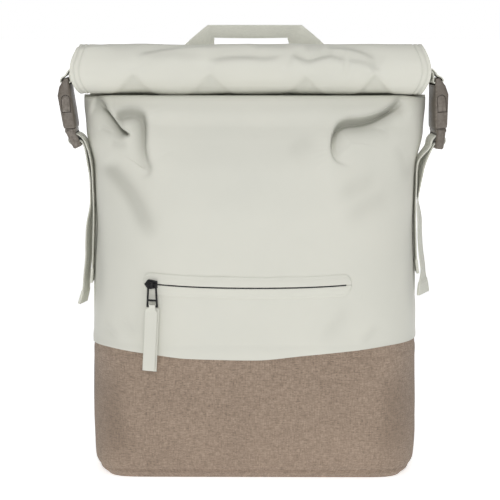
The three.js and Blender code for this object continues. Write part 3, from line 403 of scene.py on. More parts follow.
def weaveGroup():
    # plain weave: two sets of threads, each |sin| of its coordinate, that pass over each other by
    # turns; Thread is a value of its own for each thread and Slub a slow streak along the threads
    tree, source, sink = newGroup(
        "clothWeave",
        [
            ("Vector", "NodeSocketVector", None),
            ("Warp Pitch", "NodeSocketFloat", 1.0),
            ("Weft Pitch", "NodeSocketFloat", 1.0),
            ("Wander", "NodeSocketFloat", 0.1),
        ],
        ["Height", "Thread", "Gap Shade", "Slub"],
    )
    parts = tree.nodes.new("ShaderNodeSeparateXYZ")
    link(tree, source["Vector"], parts.inputs[0])
    sway = maths(tree, "SUBTRACT", noise(tree, source["Vector"], 0.35), 0.5)
    sway = maths(tree, "MULTIPLY", sway, source["Wander"])
    u = maths(tree, "ADD", maths(tree, "DIVIDE", parts.outputs[0], source["Warp Pitch"]), sway)
    v = maths(tree, "ADD", maths(tree, "DIVIDE", parts.outputs[1], source["Weft Pitch"]), sway)
    waveU = maths(tree, "SINE", maths(tree, "MULTIPLY", u, math.pi))
    waveV = maths(tree, "SINE", maths(tree, "MULTIPLY", v, math.pi))
    over = maths(tree, "GREATER_THAN", maths(tree, "MULTIPLY", waveU, waveV), 0.0)
    roundU, roundV = maths(tree, "ABSOLUTE", waveU), maths(tree, "ABSOLUTE", waveV)
    warp = maths(tree, "MULTIPLY", roundU, maths(tree, "MULTIPLY_ADD", roundV, 0.45, 0.55))
    weft = maths(tree, "MULTIPLY", roundV, maths(tree, "MULTIPLY_ADD", roundU, 0.45, 0.55))
    under = maths(tree, "SUBTRACT", 1.0, over)
    height = maths(tree, "ADD", maths(tree, "MULTIPLY", warp, over), maths(tree, "MULTIPLY", weft, under))
    cell = tree.nodes.new("ShaderNodeCombineXYZ")
    link(tree, maths(tree, "FLOOR", maths(tree, "MULTIPLY", u, 0.5)), cell.inputs[0])
    link(tree, maths(tree, "FLOOR", v), cell.inputs[1])
    random = tree.nodes.new("ShaderNodeTexWhiteNoise")
    random.noise_dimensions = "3D"
    link(tree, cell.outputs[0], random.inputs["Vector"])
    thread = random.outputs["Value"]
    link(tree, height, sink["Height"])
    link(tree, thread, sink["Thread"])
    # the gap output is painted shade, 1 where the threads lie lowest and 0 on their crowns
    link(tree, remap(tree, height, 0.0, 0.45, 1.0, 0.0), sink["Gap Shade"])
    streaks = []
    for stretch in ((1.0, 0.16, 1.0), (0.16, 1.0, 1.0)):
        scaled = tree.nodes.new("ShaderNodeVectorMath")
        scaled.operation = "MULTIPLY"
        link(tree, source["Vector"], scaled.inputs[0])
        scaled.inputs[1].default_value = stretch
        streaks.append(noise(tree, scaled.outputs[0], 0.8, 2.0))
    link(tree, remap(tree, maths(tree, "ADD", *streaks), 0.75, 1.25), sink["Slub"])
    return tree


def grainGroup():
    # fine pebbled grain with a slower mottle under it
    tree, source, sink = newGroup(
        "surfaceGrain",
        [
            ("Vector", "NodeSocketVector", None),
            ("Grain Scale", "NodeSocketFloat", 900.0),
            ("Mottle Scale", "NodeSocketFloat", 18.0),
        ],
        ["Height", "Mottle", "Smudge"],
    )
    link(tree, noise(tree, source["Vector"], source["Grain Scale"], 3.0, 0.6), sink["Height"])
    mottle = noise(tree, source["Vector"], source["Mottle Scale"], 4.0, 0.55)
    link(tree, remap(tree, mottle, 0.3, 0.7), sink["Mottle"])
    finer = maths(tree, "MULTIPLY", source["Mottle Scale"], 3.1)
    smudge = noise(tree, source["Vector"], finer, 5.0, 0.65)
    link(tree, remap(tree, smudge, 0.5, 0.72), sink["Smudge"])
    return tree


def wearGroup():
    # where convex edges have rubbed lighter, broken up by a noise
    tree, source, sink = newGroup(
        "edgeWear", [("Vector", "NodeSocketVector", None), ("Amount", "NodeSocketFloat", 1.0)], ["Worn"]
    )
    shape = tree.nodes.new("ShaderNodeNewGeometry")
    edge = remap(tree, shape.outputs["Pointiness"], 0.515, 0.58)
    broken = remap(tree, noise(tree, source["Vector"], 420.0, 3.0), 0.35, 0.65)
    wearAndPaintedShade = maths(tree, "MULTIPLY", edge, broken)
    link(tree, maths(tree, "MULTIPLY", wearAndPaintedShade, source["Amount"]), sink["Worn"])
    return tree


weave, grain, wear = weaveGroup(), grainGroup(), wearGroup()


def newMaterial(name, roughness, specular=0.5, sheen=0.0):
    material = bpy.data.materials.new(name)
    material.use_nodes = True
    tree = material.node_tree
    shader = tree.nodes["Principled BSDF"]
    shader.inputs["Roughness"].default_value = roughness
    shader.inputs["Specular IOR Level"].default_value = specular
    shader.inputs["Sheen Weight"].default_value = sheen
    shader.inputs["Sheen Roughness"].default_value = 0.5
    place = tree.nodes.new("ShaderNodeTexCoord")
    return material, tree, shader, place


def addGroup(tree, group, vector, **values):
    node = tree.nodes.new("ShaderNodeGroup")
    node.node_tree = group
    link(tree, vector, node.inputs["Vector"])
    for name, value in values.items():
        node.inputs[name].default_value = value
    return node.outputs


def addBump(tree, shader, height, distance, strength=1.0):
    bump = tree.nodes.new("ShaderNodeBump")
    bump.inputs["Distance"].default_value = distance
    bump.inputs["Strength"].default_value = strength
    link(tree, height, bump.inputs["Height"])
    link(tree, bump.outputs[0], shader.inputs["Normal"])


finishes = {
    "coated": (0.665, 0.665, 0.596),
    "coatedWarm": (0.70, 0.695, 0.62),
    "coatedPaintedShade": (0.3, 0.3, 0.255),  # painted shade deep in a fold
    "wovenLight": (0.535, 0.408, 0.31),
    "wovenDark": (0.228, 0.171, 0.127),
    # painted shade in the base's folds
    "wovenPaintedShade": (0.18, 0.128, 0.087),
    "wovenGapShade": (0.12, 0.088, 0.065),  # painted shade between the threads
    "wovenPitch": (0.85, 0.95),  # mm between threads, along the warp and the weft
    "webLight": (0.84, 0.84, 0.745),
    "webDark": (0.71, 0.71, 0.625),
    "webPitch": (1.25, 0.9),
    "plastic": (0.135, 0.114, 0.093),
    "plasticWorn": (0.27, 0.24, 0.21),
    "metal": (0.012, 0.012, 0.013),
    "metalWorn": (0.05, 0.049, 0.047),
    "thread": (0.60, 0.60, 0.53),
}


def colourOf(name):
    return (*finishes[name], 1.0)


def addWeave(tree, place, pitch, wander):
    values = {"Warp Pitch": finishes[pitch][0], "Weft Pitch": finishes[pitch][1], "Wander": wander}
    return addGroup(tree, weave, place.outputs["UV"], **values)


def addGrain(tree, place, grainScale, mottleScale):
    values = {"Grain Scale": grainScale, "Mottle Scale": mottleScale}
    return addGroup(tree, grain, place.outputs["Object"], **values)


def paint(tree, shader, factor, first, second):
    # base colour: first where the factor is 0, second where it is 1
    link(tree, mixColour(tree, factor, first, second), shader.inputs["Base Color"])


def paintFoldShade(tree, shader, colour, paintedShade):
    # the colour with shade painted into it, darker where the piece's painted fold shade says so
    fold = tree.nodes.new("ShaderNodeAttribute")
    fold.attribute_name = "paintedFoldShade"
    paint(tree, shader, fold.outputs["Fac"], colour, colourOf(paintedShade))


def roughen(tree, shader, smudge, clean, smudged):
    link(tree, remap(tree, smudge, 0.0, 1.0, clean, smudged), shader.inputs["Roughness"])


def coatedCloth():
    material, tree, shader, place = newMaterial("coatedCloth", 0.5, 0.35, 0.08)
    values = addGrain(tree, place, 1500.0, 9.0)
    colour = mixColour(tree, values["Mottle"], colourOf("coated"), colourOf("coatedWarm"))
    # painted shade: darker towards the shade colour where the piece's folds say so
    paintFoldShade(tree, shader, colour, "coatedPaintedShade")
    roughen(tree, shader, values["Smudge"], 0.56, 0.44)
    addBump(tree, shader, values["Height"], 0.00006)
    return material


def wovenCloth():
    # threads of a slightly different brown each, streaks along them, painted shade in the gaps and folds
    material, tree, shader, place = newMaterial("wovenCloth", 0.85, 0.25, 0.15)
    threads = addWeave(tree, place, "wovenPitch", 0.5)
    values = addGrain(tree, place, 700.0, 14.0)
    shade = maths(tree, "MULTIPLY", threads["Thread"], 0.38)
    shade = maths(tree, "MULTIPLY_ADD", values["Mottle"], 0.14, shade)
    shade = maths(tree, "MULTIPLY_ADD", threads["Slub"], 0.48, shade)
    colour = mixColour(tree, shade, colourOf("wovenDark"), colourOf("wovenLight"))
    # painted shade in the low places between the threads
    gapShade = maths(tree, "MULTIPLY", threads["Gap Shade"], 0.5)
    paintFoldShade(tree, shader, mixColour(tree, gapShade, colour, colourOf("wovenGapShade")), "wovenPaintedShade")
    addBump(tree, shader, threads["Height"], 0.00028)
    return material


def webbingCloth():
    material, tree, shader, place = newMaterial("webbingCloth", 0.75, 0.3, 0.15)
    threads = addWeave(tree, place, "webPitch", 0.1)
    # painted shade: darker where the threads lie low, mixed with each thread's own tone
    shade = maths(tree, "MULTIPLY", threads["Height"], 0.65)
    shade = maths(tree, "MULTIPLY_ADD", threads["Thread"], 0.35, shade)
    paint(tree, shader, shade, colourOf("webDark"), colourOf("webLight"))
    addBump(tree, shader, threads["Height"], 0.0003)
    return material


def mouldedPlastic():
    material, tree, shader, place = newMaterial("mouldedPlastic", 0.42, 0.45)
    values = addGrain(tree, place, 2600.0, 60.0)
    worn = addGroup(tree, wear, place.outputs["Object"], Amount=0.8)
    paint(tree, shader, worn["Worn"], colourOf("plastic"), colourOf("plasticWorn"))
    roughen(tree, shader, values["Smudge"], 0.48, 0.36)
    addBump(tree, shader, values["Height"], 0.00005)
    return material


def blackMetal():
    material, tree, shader, place = newMaterial("blackMetal", 0.45, 0.3)
    shader.inputs["Metallic"].default_value = 0.3
    values = addGrain(tree, place, 3000.0, 90.0)
    worn = addGroup(tree, wear, place.outputs["Object"], Amount=0.6)
    paint(tree, shader, worn["Worn"], colourOf("metal"), colourOf("metalWorn"))
    roughen(tree, shader, values["Smudge"], 0.42, 0.3)
    addBump(tree, shader, values["Height"], 0.00003)
    return material


def sewingThread():
    material, tree, shader, place = newMaterial("sewingThread", 0.6, 0.3)
    values = addGrain(tree, place, 2200.0, 120.0)
    paint(tree, shader, values["Mottle"], colourOf("thread"), colourOf("coatedWarm"))
    addBump(tree, shader, values["Height"], 0.00008)
    return material


coated, woven, webbing = coatedCloth(), wovenCloth(), webbingCloth()
plastic, metal, thread = mouldedPlastic(), blackMetal(), sewingThread()
print("Materials ready")

# Bag body: shares of the driving sizes, from the floor to the neck
bagSize = {
    "width": 324.0,
    "belly": 80.0,
    "back": 50.0,
    "neck": 372.0,
    "seam": 133.0,
    "seamDip": 6.0,
    "coatedWall": 2.0,
    "wovenWall": 2.6,
    "gap": 0.3,
    "backSquare": 6.0,
    "backRound": 3.0,
}
bodySections = {
    "at": (0.0, 0.02, 0.042, 0.13, 0.34, 0.54, 0.7, 0.82, 0.9, 0.94, 0.962, 0.974, 0.983, 0.99, 1.0),
    "up": (0.0, 0.02, 0.042, 0.13, 0.34, 0.54, 0.7, 0.82, 0.9, 0.95, 0.982, 1.0, 1.003, 1.004, 1.008),
    "wide": (0.92, 0.964, 0.994, 1.006, 0.996, 0.985, 0.97, 0.977,
             1.016, 1.031, 1.039, 1.04, 1.04, 1.04, 1.04),
    "set": (0.0, 0.0, 0.0, 0.0, 0.0, 0.0, 0.0, 0.02, 0.07, 0.12, 0.16, 0.19, 0.21, 0.22, 0.23),
    "front": (0.6, 0.645, 0.69, 0.8, 0.93, 1.0, 0.96, 0.82, 0.665, 0.52, 0.42, 0.345, 0.25, 0.13, 0.046),
    "back": (0.86, 0.95, 0.98, 1.0, 1.0, 1.0, 1.0, 0.95, 0.76, 0.55, 0.36, 0.22, 0.15, 0.11, 0.076),
    "square": (16.0, 14.0, 11.0, 8.0, 5.0, 3.8, 3.5, 3.6, 4.0, 4.4, 5.0, 5.5, 6.0, 6.0, 6.0),
    "round": (3.0, 2.8, 2.6, 2.4, 2.2, 2.1, 2.0, 2.0, 2.0, 2.0, 2.0, 2.0, 2.0, 2.0, 2.0),
}
seamRows = {
    "at": (-1.0, -0.68, -0.45, -0.25, 0.0, 0.2, 0.4, 0.63, 1.0),
    "lift": (-0.2, 0.4, 0.0, -0.75, -0.95, -0.15, 0.55, 1.05, 0.75),
}

# Creases: points are (x, z) on the front in mm. The cloth stands proud by lift on the left of the
# line's direction and sinks by dip on its right; edge is how sharp the line is, lip how far the
# proud side hangs over the sunk one, reach and sink how wide the two sides are. groove is a narrow
# slot under the lip, shade how much shade is painted into the cloth's colour in the fold, and fade
# the shares of the line over which it begins and ends. A row that names no lip or groove has none.
creases = [
    {"path": [(-157, 374), (-149, 370.5), (-140, 364), (-132, 355.5), (-124, 346), (-117.5, 339.5)],
     "lift": 6.5, "dip": 5.0, "edge": 0.9, "lip": 5.0, "reach": 14, "sink": 13, "groove": 5.0,
     "shade": 0.75, "fade": (0.1, 0.2)},
    {"path": [(-131, 356), (-122, 360.5), (-113, 360.5), (-106.5, 357), (-104, 350), (-103.5, 338),
              (-103.5, 327), (-101.5, 318), (-98.5, 311), (-100, 304.5), (-106, 301.5), (-114, 301.5)],
     "lift": 3.4, "dip": 6.0, "edge": 2.2, "lip": 1.6, "reach": 20, "sink": 12, "groove": 1.4,
     "shade": 0.7, "fade": (0.06, 0.62)},
    {"path": [(94, 311), (85, 313), (77, 317), (73, 324), (72, 333), (74, 343), (79, 350.5), (88, 354),
              (100, 355), (114, 358), (126, 363), (138, 369.5), (147, 374)],
     "lift": 6.0, "dip": 5.0, "edge": 1.2, "lip": 4.4, "reach": 16, "sink": 14, "groove": 4.5,
     "shade": 0.7, "fade": (0.55, 0.1)},
    {"path": [(-97, 240), (-106, 259), (-115, 277), (-127, 293), (-138, 304), (-148, 314)],
     "lift": 0.5, "dip": 4.4, "edge": 5.0, "reach": 22, "sink": 12, "shade": 0.4, "fade": (0.3, 0.15)},
    {"path": [(-152, 349), (-143, 345), (-133, 342)],
     "lift": 0.6, "dip": 0.9, "edge": 1.6, "reach": 7, "sink": 6, "shade": 0.2, "fade": (0.3, 0.4)},
    {"path": [(-141, 333), (-131, 331), (-119, 332)],
     "lift": 0.4, "dip": 0.8, "edge": 1.8, "reach": 7, "sink": 6, "shade": 0.2, "fade": (0.3, 0.4)},
    {"path": [(112, 349.5), (122, 347), (134, 341.5)],
     "lift": 0.5, "dip": 0.8, "edge": 1.8, "reach": 8, "sink": 6, "shade": 0.2, "fade": (0.3, 0.4)},
    {"path": [(74, 282), (88, 291), (102, 296.5), (120, 300)],
     "lift": 0.9, "dip": 0.9, "edge": 5.0, "reach": 14, "sink": 14, "shade": 0.14, "fade": (0.4, 0.3)},
    {"path": [(80, 258), (98, 270), (118, 280), (134, 284)],
     "lift": 0.7, "dip": 0.8, "edge": 6.0, "reach": 16, "sink": 16, "shade": 0.14, "fade": (0.4, 0.3)},
    {"path": [(28, 322), (44, 332), (60, 339)],
     "lift": 0.5, "dip": 0.6, "edge": 5.0, "reach": 14, "sink": 12, "shade": 0.14, "fade": (0.4, 0.4)},
    {"path": [(-150, 158), (-140, 152), (-128, 143)],
     "lift": 1.0, "dip": 1.0, "edge": 2.6, "reach": 8, "sink": 7, "shade": 0.12, "fade": (0.45, 0.45)},
    {"path": [(-131, 168), (-121, 159), (-108, 146)],
     "lift": 0.8, "dip": 0.8, "edge": 3.2, "reach": 9, "sink": 8, "shade": 0.12, "fade": (0.45, 0.45)},
    {"path": [(99, 141), (111, 151), (124, 163)],
     "lift": 0.9, "dip": 1.0, "edge": 2.8, "reach": 9, "sink": 8, "shade": 0.12, "fade": (0.45, 0.45)},
    {"path": [(-159, 300), (-154, 250), (-151, 205), (-152, 158)],
     "lift": 0.3, "dip": 1.4, "edge": 5.0, "reach": 10, "sink": 9, "shade": 0.24, "fade": (0.3, 0.3)},
    {"path": [(156, 160), (154, 205), (156, 245), (159, 275)],
     "lift": 0.3, "dip": 1.4, "edge": 5.0, "reach": 10, "sink": 9, "shade": 0.22, "fade": (0.3, 0.3)},
    {"path": [(139, 336), (148, 315), (153, 290)],
     "lift": 0.9, "dip": 1.6, "edge": 3.4, "reach": 11, "sink": 9, "shade": 0.2, "fade": (0.35, 0.35)},
    {"path": [(58, 141), (72, 156), (84, 172), (94, 188)],
     "lift": 0.7, "dip": 0.8, "edge": 4.5, "reach": 13, "sink": 12, "shade": 0.12,
     "fade": (0.45, 0.45)},
]


def halfWidth(at):
    return bagSize["width"] / 2 * readTable(bodySections, "wide", at)


def acrossAt(x, at):
    # share across the body that lies at x, at a given share of its height
    return np.arcsin(np.clip(x / halfWidth(at), -1, 1)) * 2 / np.pi


def plainPoint(across, face, at):
    # the body's outside without creases: a rounded box outline at each height
    across, at = np.broadcast_arrays(np.asarray(across, float), np.asarray(at, float))
    s = np.sin(across * np.pi / 2)
    power, rounding = bagSize["backSquare"], bagSize["backRound"]
    reach = bagSize["back"] * readTable(bodySections, "back", at)
    if face < 0:
        power, rounding = readTable(bodySections, "square", at), readTable(bodySections, "round", at)
        reach = bagSize["belly"] * readTable(bodySections, "front", at)
    fullness = np.maximum(0, 1 - np.abs(s) ** power) ** (1 / rounding)
    return np.stack(
        [
            halfWidth(at) * s,
            bagSize["back"] * readTable(bodySections, "set", at) + face * reach * fullness,
            bagSize["neck"] * readTable(bodySections, "up", at),
        ],
        -1,
    )


def plainNormal(across, face, at, step=0.004):
    # across the slopes along the two directions of the face
    across, at = np.broadcast_arrays(np.asarray(across, float), np.asarray(at, float))
    point = lambda a, b: plainPoint(np.clip(a, -1, 1), face, np.clip(b, 0, 1))
    sideways = point(across + step, at) - point(across - step, at)
    upwards = point(across, at + step) - point(across, at - step)
    return unit(np.cross(sideways, upwards)) * -face


def nearestOn(path, x, z):
    # for each point: distance to a polyline with its sign, the share along it and its normal there
    a, b = path[:-1], path[1:]
    run = b - a
    length = np.linalg.norm(run, axis=1)
    start = np.concatenate([[0], np.cumsum(length)])
    px, pz = x[:, None] - a[:, 0], z[:, None] - a[:, 1]
    t = np.clip((px * run[:, 0] + pz * run[:, 1]) / length**2, 0, 1)
    dx, dz = px - t * run[:, 0], pz - t * run[:, 1]
    k = np.argmin(dx**2 + dz**2, axis=1)
    i = np.arange(len(x))
    side = np.sign(run[k, 0] * pz[i, k] - run[k, 1] * px[i, k])
    distance = side * np.hypot(dx[i, k], dz[i, k])
    share = (start[k] + t[i, k] * length[k]) / start[-1]
    return distance, share, np.stack([-run[k, 1], run[k, 0]], -1) / length[k, None]


def foldCloth(rows, x, z):
    # how far each point of a cloth moves outwards, and sideways along it, for all rows of creases
    x, z = np.broadcast_arrays(x, z)
    shape = x.shape
    x, z = x.ravel(), z.ravel()
    out, shade, slide = np.zeros(len(x)), np.zeros(len(x)), np.zeros((len(x), 2))
    for row in rows:
        path = curveThrough(row["path"], 40)
        wide = 2.6 * max(row["reach"], row["sink"])
        low, high = path.min(0) - wide, path.max(0) + wide
        near = np.where((x > low[0]) & (x < high[0]) & (z > low[1]) & (z < high[1]))[0]
        distance, share, normal = nearestOn(path, x[near], z[near])
        begins, stops = row["fade"]
        along = ease(share, 0, begins) * (1 - ease(share, 1 - stops, 1))
        proud = soften(distance, row["edge"]) * np.exp(-((np.maximum(distance, 0) / row["reach"]) ** 2))
        sunk = soften(-distance, row["edge"]) * np.exp(-((np.minimum(distance, 0) / row["sink"]) ** 2))
        groove = row.get("groove", 0.0) * np.exp(-(((distance + 2.2) / 2.4) ** 2))
        out[near] += along * (row["lift"] * proud - row["dip"] * sunk - groove)
        slide[near] -= (along * row.get("lip", 0.0) * proud)[:, None] * normal
        # painted shade: a band along the crease, wider on its sunk side; the strongest row counts
        wide = np.where(distance < 0, row["sink"] * 0.75, 1.5 + row["edge"])
        wearAndPaintedShade = row["shade"] * along * np.exp(-((distance / wide) ** 2))
        shade[near] = np.maximum(shade[near], wearAndPaintedShade)
    return out.reshape(shape), slide.reshape(*shape, 2), shade.reshape(shape)


def evenAcross(face, at, count, denser=None):
    # shares across whose points are evenly spaced along the outline at one height, or closer
    # together by the weight that denser gives for their x
    fine = np.linspace(-1, 1, 4001)
    line = plainPoint(fine, face, at)
    step = np.linalg.norm(np.diff(line, axis=0), axis=1)
    if denser:
        step = step * denser(line[1:, 0])
    run = np.concatenate([[0], np.cumsum(step)])
    return np.interp(np.linspace(0, run[-1], count), run, fine)


def seamAt(across, face):
    # height of the seam between the base and the upper, as a share
    ends = seamRows["lift"][0] + (seamRows["lift"][-1] - seamRows["lift"][0]) * (across + 1) / 2
    lift = readTable(seamRows, "lift", across) if face < 0 else ends
    return (bagSize["seam"] + bagSize["seamDip"] * lift) / bagSize["neck"]


upper = {
    "frontGrid": (310, 283),  # columns and rows, each one more than a multiple of the inner step
    "backGrid": (187, 160),
    "innerStep": 3,
    "hemOver": 1.2,  # how far the hem hangs over the base
    "hemProud": 0.8,
    "turnAt": 0.94,  # where the cloth turns under the roll
    "ripple": 0.35,
    "seamRidge": 0.9,
    "topPuff": 3.2,  # how far the front comes forward under the roll
}


def lowestNear(values, reach):
    # the smallest value within reach steps of each place, first down the columns, then along the rows
    for axis in (0, 1):
        pad = np.pad(values, [(reach, reach) if k == axis else (0, 0) for k in (0, 1)], mode="edge")
        size = values.shape[axis]
        values = np.min([np.take(pad, np.arange(k, k + size), axis) for k in range(2 * reach + 1)], axis=0)
    return values


def upperSurface(face, across, at, depth, step=1):
    # the cloth's surface, depth mm in: outline, slack ripples, creases, hem and side seams. With a
    # step the surface is the inner one: it stays behind the deepest place of the outer one nearby.
    point, normal = plainPoint(across, face, at), plainNormal(across, face, at)
    x, z = point[..., 0], point[..., 2]
    lift = upper["ripple"] * softNoise(x, z, 34.0, 3 if face < 0 else 4)
    lift = lift + 0.25 * upper["ripple"] * softNoise(x, z, 11.0, 5)
    quiet = ease(z, bagSize["seam"] - 2, bagSize["seam"] + 25)
    lift = lift * quiet * (1 - ease(at, 0.93, 0.96))
    if face < 0:
        out, slide, _ = foldCloth(creases, x, z)
        tight = 1 - ease(at, 0.955, 0.975)
        lift = lift + out * tight
        point = point + np.stack([slide[..., 0], 0 * x, slide[..., 1]], -1) * tight[..., None]
    hem = 1 - ease(z, bagSize["seam"] + 1, bagSize["seam"] + 9)
    lift = lift + upper["hemProud"] * hem
    puff = ease(at, 0.925, 0.955) * (1 - ease(at, 0.978, 0.987)) * (1 - ease(np.abs(across), 0.6, 0.9))
    lift = lift + upper["topPuff"] * puff * (face < 0)
    ridge = np.exp(-(((1 - np.abs(across)) * 90) ** 2)) * (1 - ease(at, 0.9, 0.94))
    if step > 1:
        lift, point = lowestNear(lift, 2 * step), plainPoint(across, face, at)
    point = point + normal * (lift - depth)[..., None]
    point[..., 0] += np.sign(across) * upper["seamRidge"] * ridge
    middle = bagSize["back"] * readTable(bodySections, "set", at)
    under = ease(at, upper["turnAt"], upper["turnAt"] + 0.015)
    clear = 0.02 + under * (bagSize["gap"] + 1.2)
    point[..., 1] = middle + face * np.maximum(face * (point[..., 1] - middle), clear)
    return point


def upperPanel(name, face, grid, node):
    columns, rows = grid
    nearCreases = lambda x: 1 + 1.3 * np.exp(-(((np.abs(x) - 112) / 38) ** 2))
    across = evenAcross(face, 0.7, columns, nearCreases if face < 0 else None)
    start = seamAt(across, face) - upper["hemOver"] / bagSize["neck"]
    fine = np.linspace(0, 1, 2001)
    run = np.cumsum(1 + 1.2 * ease(fine, 0.62, 0.74) + 1.5 * (1 - ease(fine, 0.0, 0.05)))
    share = np.interp(np.linspace(run[0], run[-1], rows), run, fine)[:, None]
    at = start + (1 - start) * share
    across = np.broadcast_to(across, at.shape)
    outer = upperSurface(face, across, at, 0.0)
    step = upper["innerStep"]
    inner = upperSurface(face, across, at, bagSize["coatedWall"] * 0.6, step)[::step, ::step]
    uv = np.stack([outer[..., 0], outer[..., 2]], -1)
    patch = wallPatch(outer, inner, uv, step)
    if face < 0:
        # painted shade in the front's folds, on the outer points only
        plain = plainPoint(across, face, at)
        shade = foldCloth(creases, plain[..., 0], plain[..., 2])[2]
        patch["shade"] = np.concatenate([shade.ravel(), np.zeros(inner[..., 0].size)])
    buildPiece(name, [patch], coated, "bag", [node])


upperPanel("front_cloth", -1, upper["frontGrid"], "front_panel")
upperPanel("back_cloth", 1, upper["backGrid"], "back_panel")
print("Upper panels made")

# Base: a woven cup with slack folds on its front and a proud lower edge
# Folds at the base's front corners; their shade is painted into the weave's colour
baseCreases = [
    {"path": [(-141, 122), (-139, 85), (-136, 48), (-124, 16)],
     "lift": 0.0, "dip": 2.4, "edge": 11.0, "reach": 26, "sink": 28, "shade": 0.36,
     "fade": (0.35, 0.25)},
    {"path": [(-118, 26), (-134, 44), (-143, 70), (-144, 100)],
     "lift": 0.0, "dip": 1.0, "edge": 6.0, "reach": 20, "sink": 22, "shade": 0.25, "fade": (0.4, 0.4)},
    {"path": [(124, 18), (135, 50), (137, 82), (126, 116)],
     "lift": 0.0, "dip": 2.0, "edge": 11.0, "reach": 26, "sink": 28, "shade": 0.38,
     "fade": (0.35, 0.35)},
]
base = {
    "columns": 200,
    "rows": 127,  # one more than a multiple of the inner step
    "innerStep": 6,
    "ripple": 0.5,
    "bindAt": 5.0,
    "bindTop": 9.0,  # where a shallow line runs above the bound edge
    "bindProud": 1.0,
    "tuck": 5.0,  # how far the cup runs up behind the upper's hem
}


def baseRing(face, across, at, depth):
    # one half of the cup: outline, slack cloth, lower binding and the side seams
    point = plainPoint(across, face, at)
    normal = plainNormal(across, face, np.maximum(at, 0.05))
    x, z = point[..., 0], point[..., 2]
    lift = base["ripple"] * softNoise(x + 40 * face, z, 38.0, 11) * ease(z, 6, 40) * (1 - ease(z, 112, 128))
    lift = lift + 0.3 * base["ripple"] * softNoise(x, z + 90 * face, 13.0, 12) * ease(z, 4, 20)
    bound = np.exp(-(((z - base["bindAt"]) / 2.0) ** 2))
    bound = bound - 0.6 * np.exp(-(((z - base["bindTop"]) / 1.2) ** 2))
    lift = lift + base["bindProud"] * bound
    if face < 0:
        lift = lift + foldCloth(baseCreases, x, z)[0]
    lift = lift - 0.7 * ease(z, 124, 130)
    edge = np.exp(-(((1 - np.abs(across)) * 60) ** 2))
    lift = lift + 0.5 * edge * ease(z, 6, 14)
    flat = np.stack([normal[..., 0], normal[..., 1], 0 * x], -1)
    point = point + flat * (lift - depth)[..., None]
    point[..., 2] = np.maximum(point[..., 2], depth)
    return point


def baseCup():
    half = base["columns"]
    front, back = evenAcross(-1, 0.2, half + 1), evenAcross(1, 0.2, half + 1)
    share = np.linspace(0, 1, base["rows"]) ** 1.25
    rings = []
    for depth in (0.0, bagSize["wovenWall"]):
        halves = []
        for face, across in ((-1, front), (1, back[::-1])):
            top = seamAt(across, face) + (base["tuck"] - 2) / bagSize["neck"] * (face < 0)
            at = share[:, None] * top[None]
            halves.append(baseRing(face, np.broadcast_to(across, at.shape), at, depth))
        rings.append(np.concatenate([halves[0][:, :-1], halves[1]], 1))
    outside, inside = rings
    inside = inside[:: base["innerStep"]]
    floorOut = np.broadcast_to([0.0, 0.0, 0.0], outside[:1].shape)
    floorIn = np.broadcast_to([0.0, 0.0, bagSize["wovenWall"]], outside[:1].shape)
    grid = np.concatenate([floorOut, outside, inside[::-1], floorIn])
    turn = runAlong(outside[len(outside) // 2])
    rise = np.cumsum(np.linalg.norm(np.diff(outside, axis=0), axis=2), axis=0)
    rise = np.concatenate([np.zeros((1, outside.shape[1])), rise])
    uvOut = np.stack([np.broadcast_to(turn, rise.shape), rise], -1)
    uvIn = np.stack([np.broadcast_to(turn, inside.shape[:2]), inside[..., 2]], -1)[::-1]
    flatUv = np.stack([outside[0][:, 0], outside[0][:, 1]], -1)[None]
    uv = np.concatenate([flatUv * 0, uvOut, uvIn, flatUv])
    patch = gridPatch(grid, uv)
    # painted shade in the folds of the front half
    paintedShade = np.zeros(grid.shape[:2])
    paintedShade[1 : 1 + len(outside), :half] = foldCloth(baseCreases, outside[:, :half, 0], outside[:, :half, 2])[2]
    patch["shade"] = paintedShade.ravel()
    buildPiece("base_cloth", [patch], woven, "bag", ["base_cup"])


baseCup()
print("Base made")

# Roll: a sheet wound forward. turn is degrees from straight down, counted through the back.
roll = {
    "length": 349.0,
    "shift": -4.0,
    "height": 53.2,
    "depth": 44.4,
    "turns": 2.25,
    "sheet": 2.4,
    "pitch": 3.3,
    "setForward": 3.0,
    "endCurve": 8.0,
    "neckBack": 11.5,
    "tuck": 8.0,
    "startTurn": 50.0,
    "columns": 280,
    "outerSteps": 190,
    "innerSteps": 62,
    "mmPerDegree": 0.42,  # makes turn a length along the roll's face
    "seamInset": (4.0, 8.5),
    "seamDepth": 0.6,
    # shade painted along the seams near the ends
    "seamPaintedShade": 0.22,
    "slack": 0.9,
    "neckWide": 1.04,  # the roll's inner ends, as a share of the bag's width
    "neckInset": 6.0,
}
rollNeckHalf = bagSize["width"] / 2 * roll["neckWide"] - roll["neckInset"]
rollY = -roll["setForward"]
rollHalfDepth = (roll["depth"] - roll["sheet"]) / 2
rollHalfHeight = (roll["height"] - roll["sheet"]) / 2
rollZ = bagSize["neck"] + rollHalfHeight + 2.5
rollHeart = rollY - 0.9

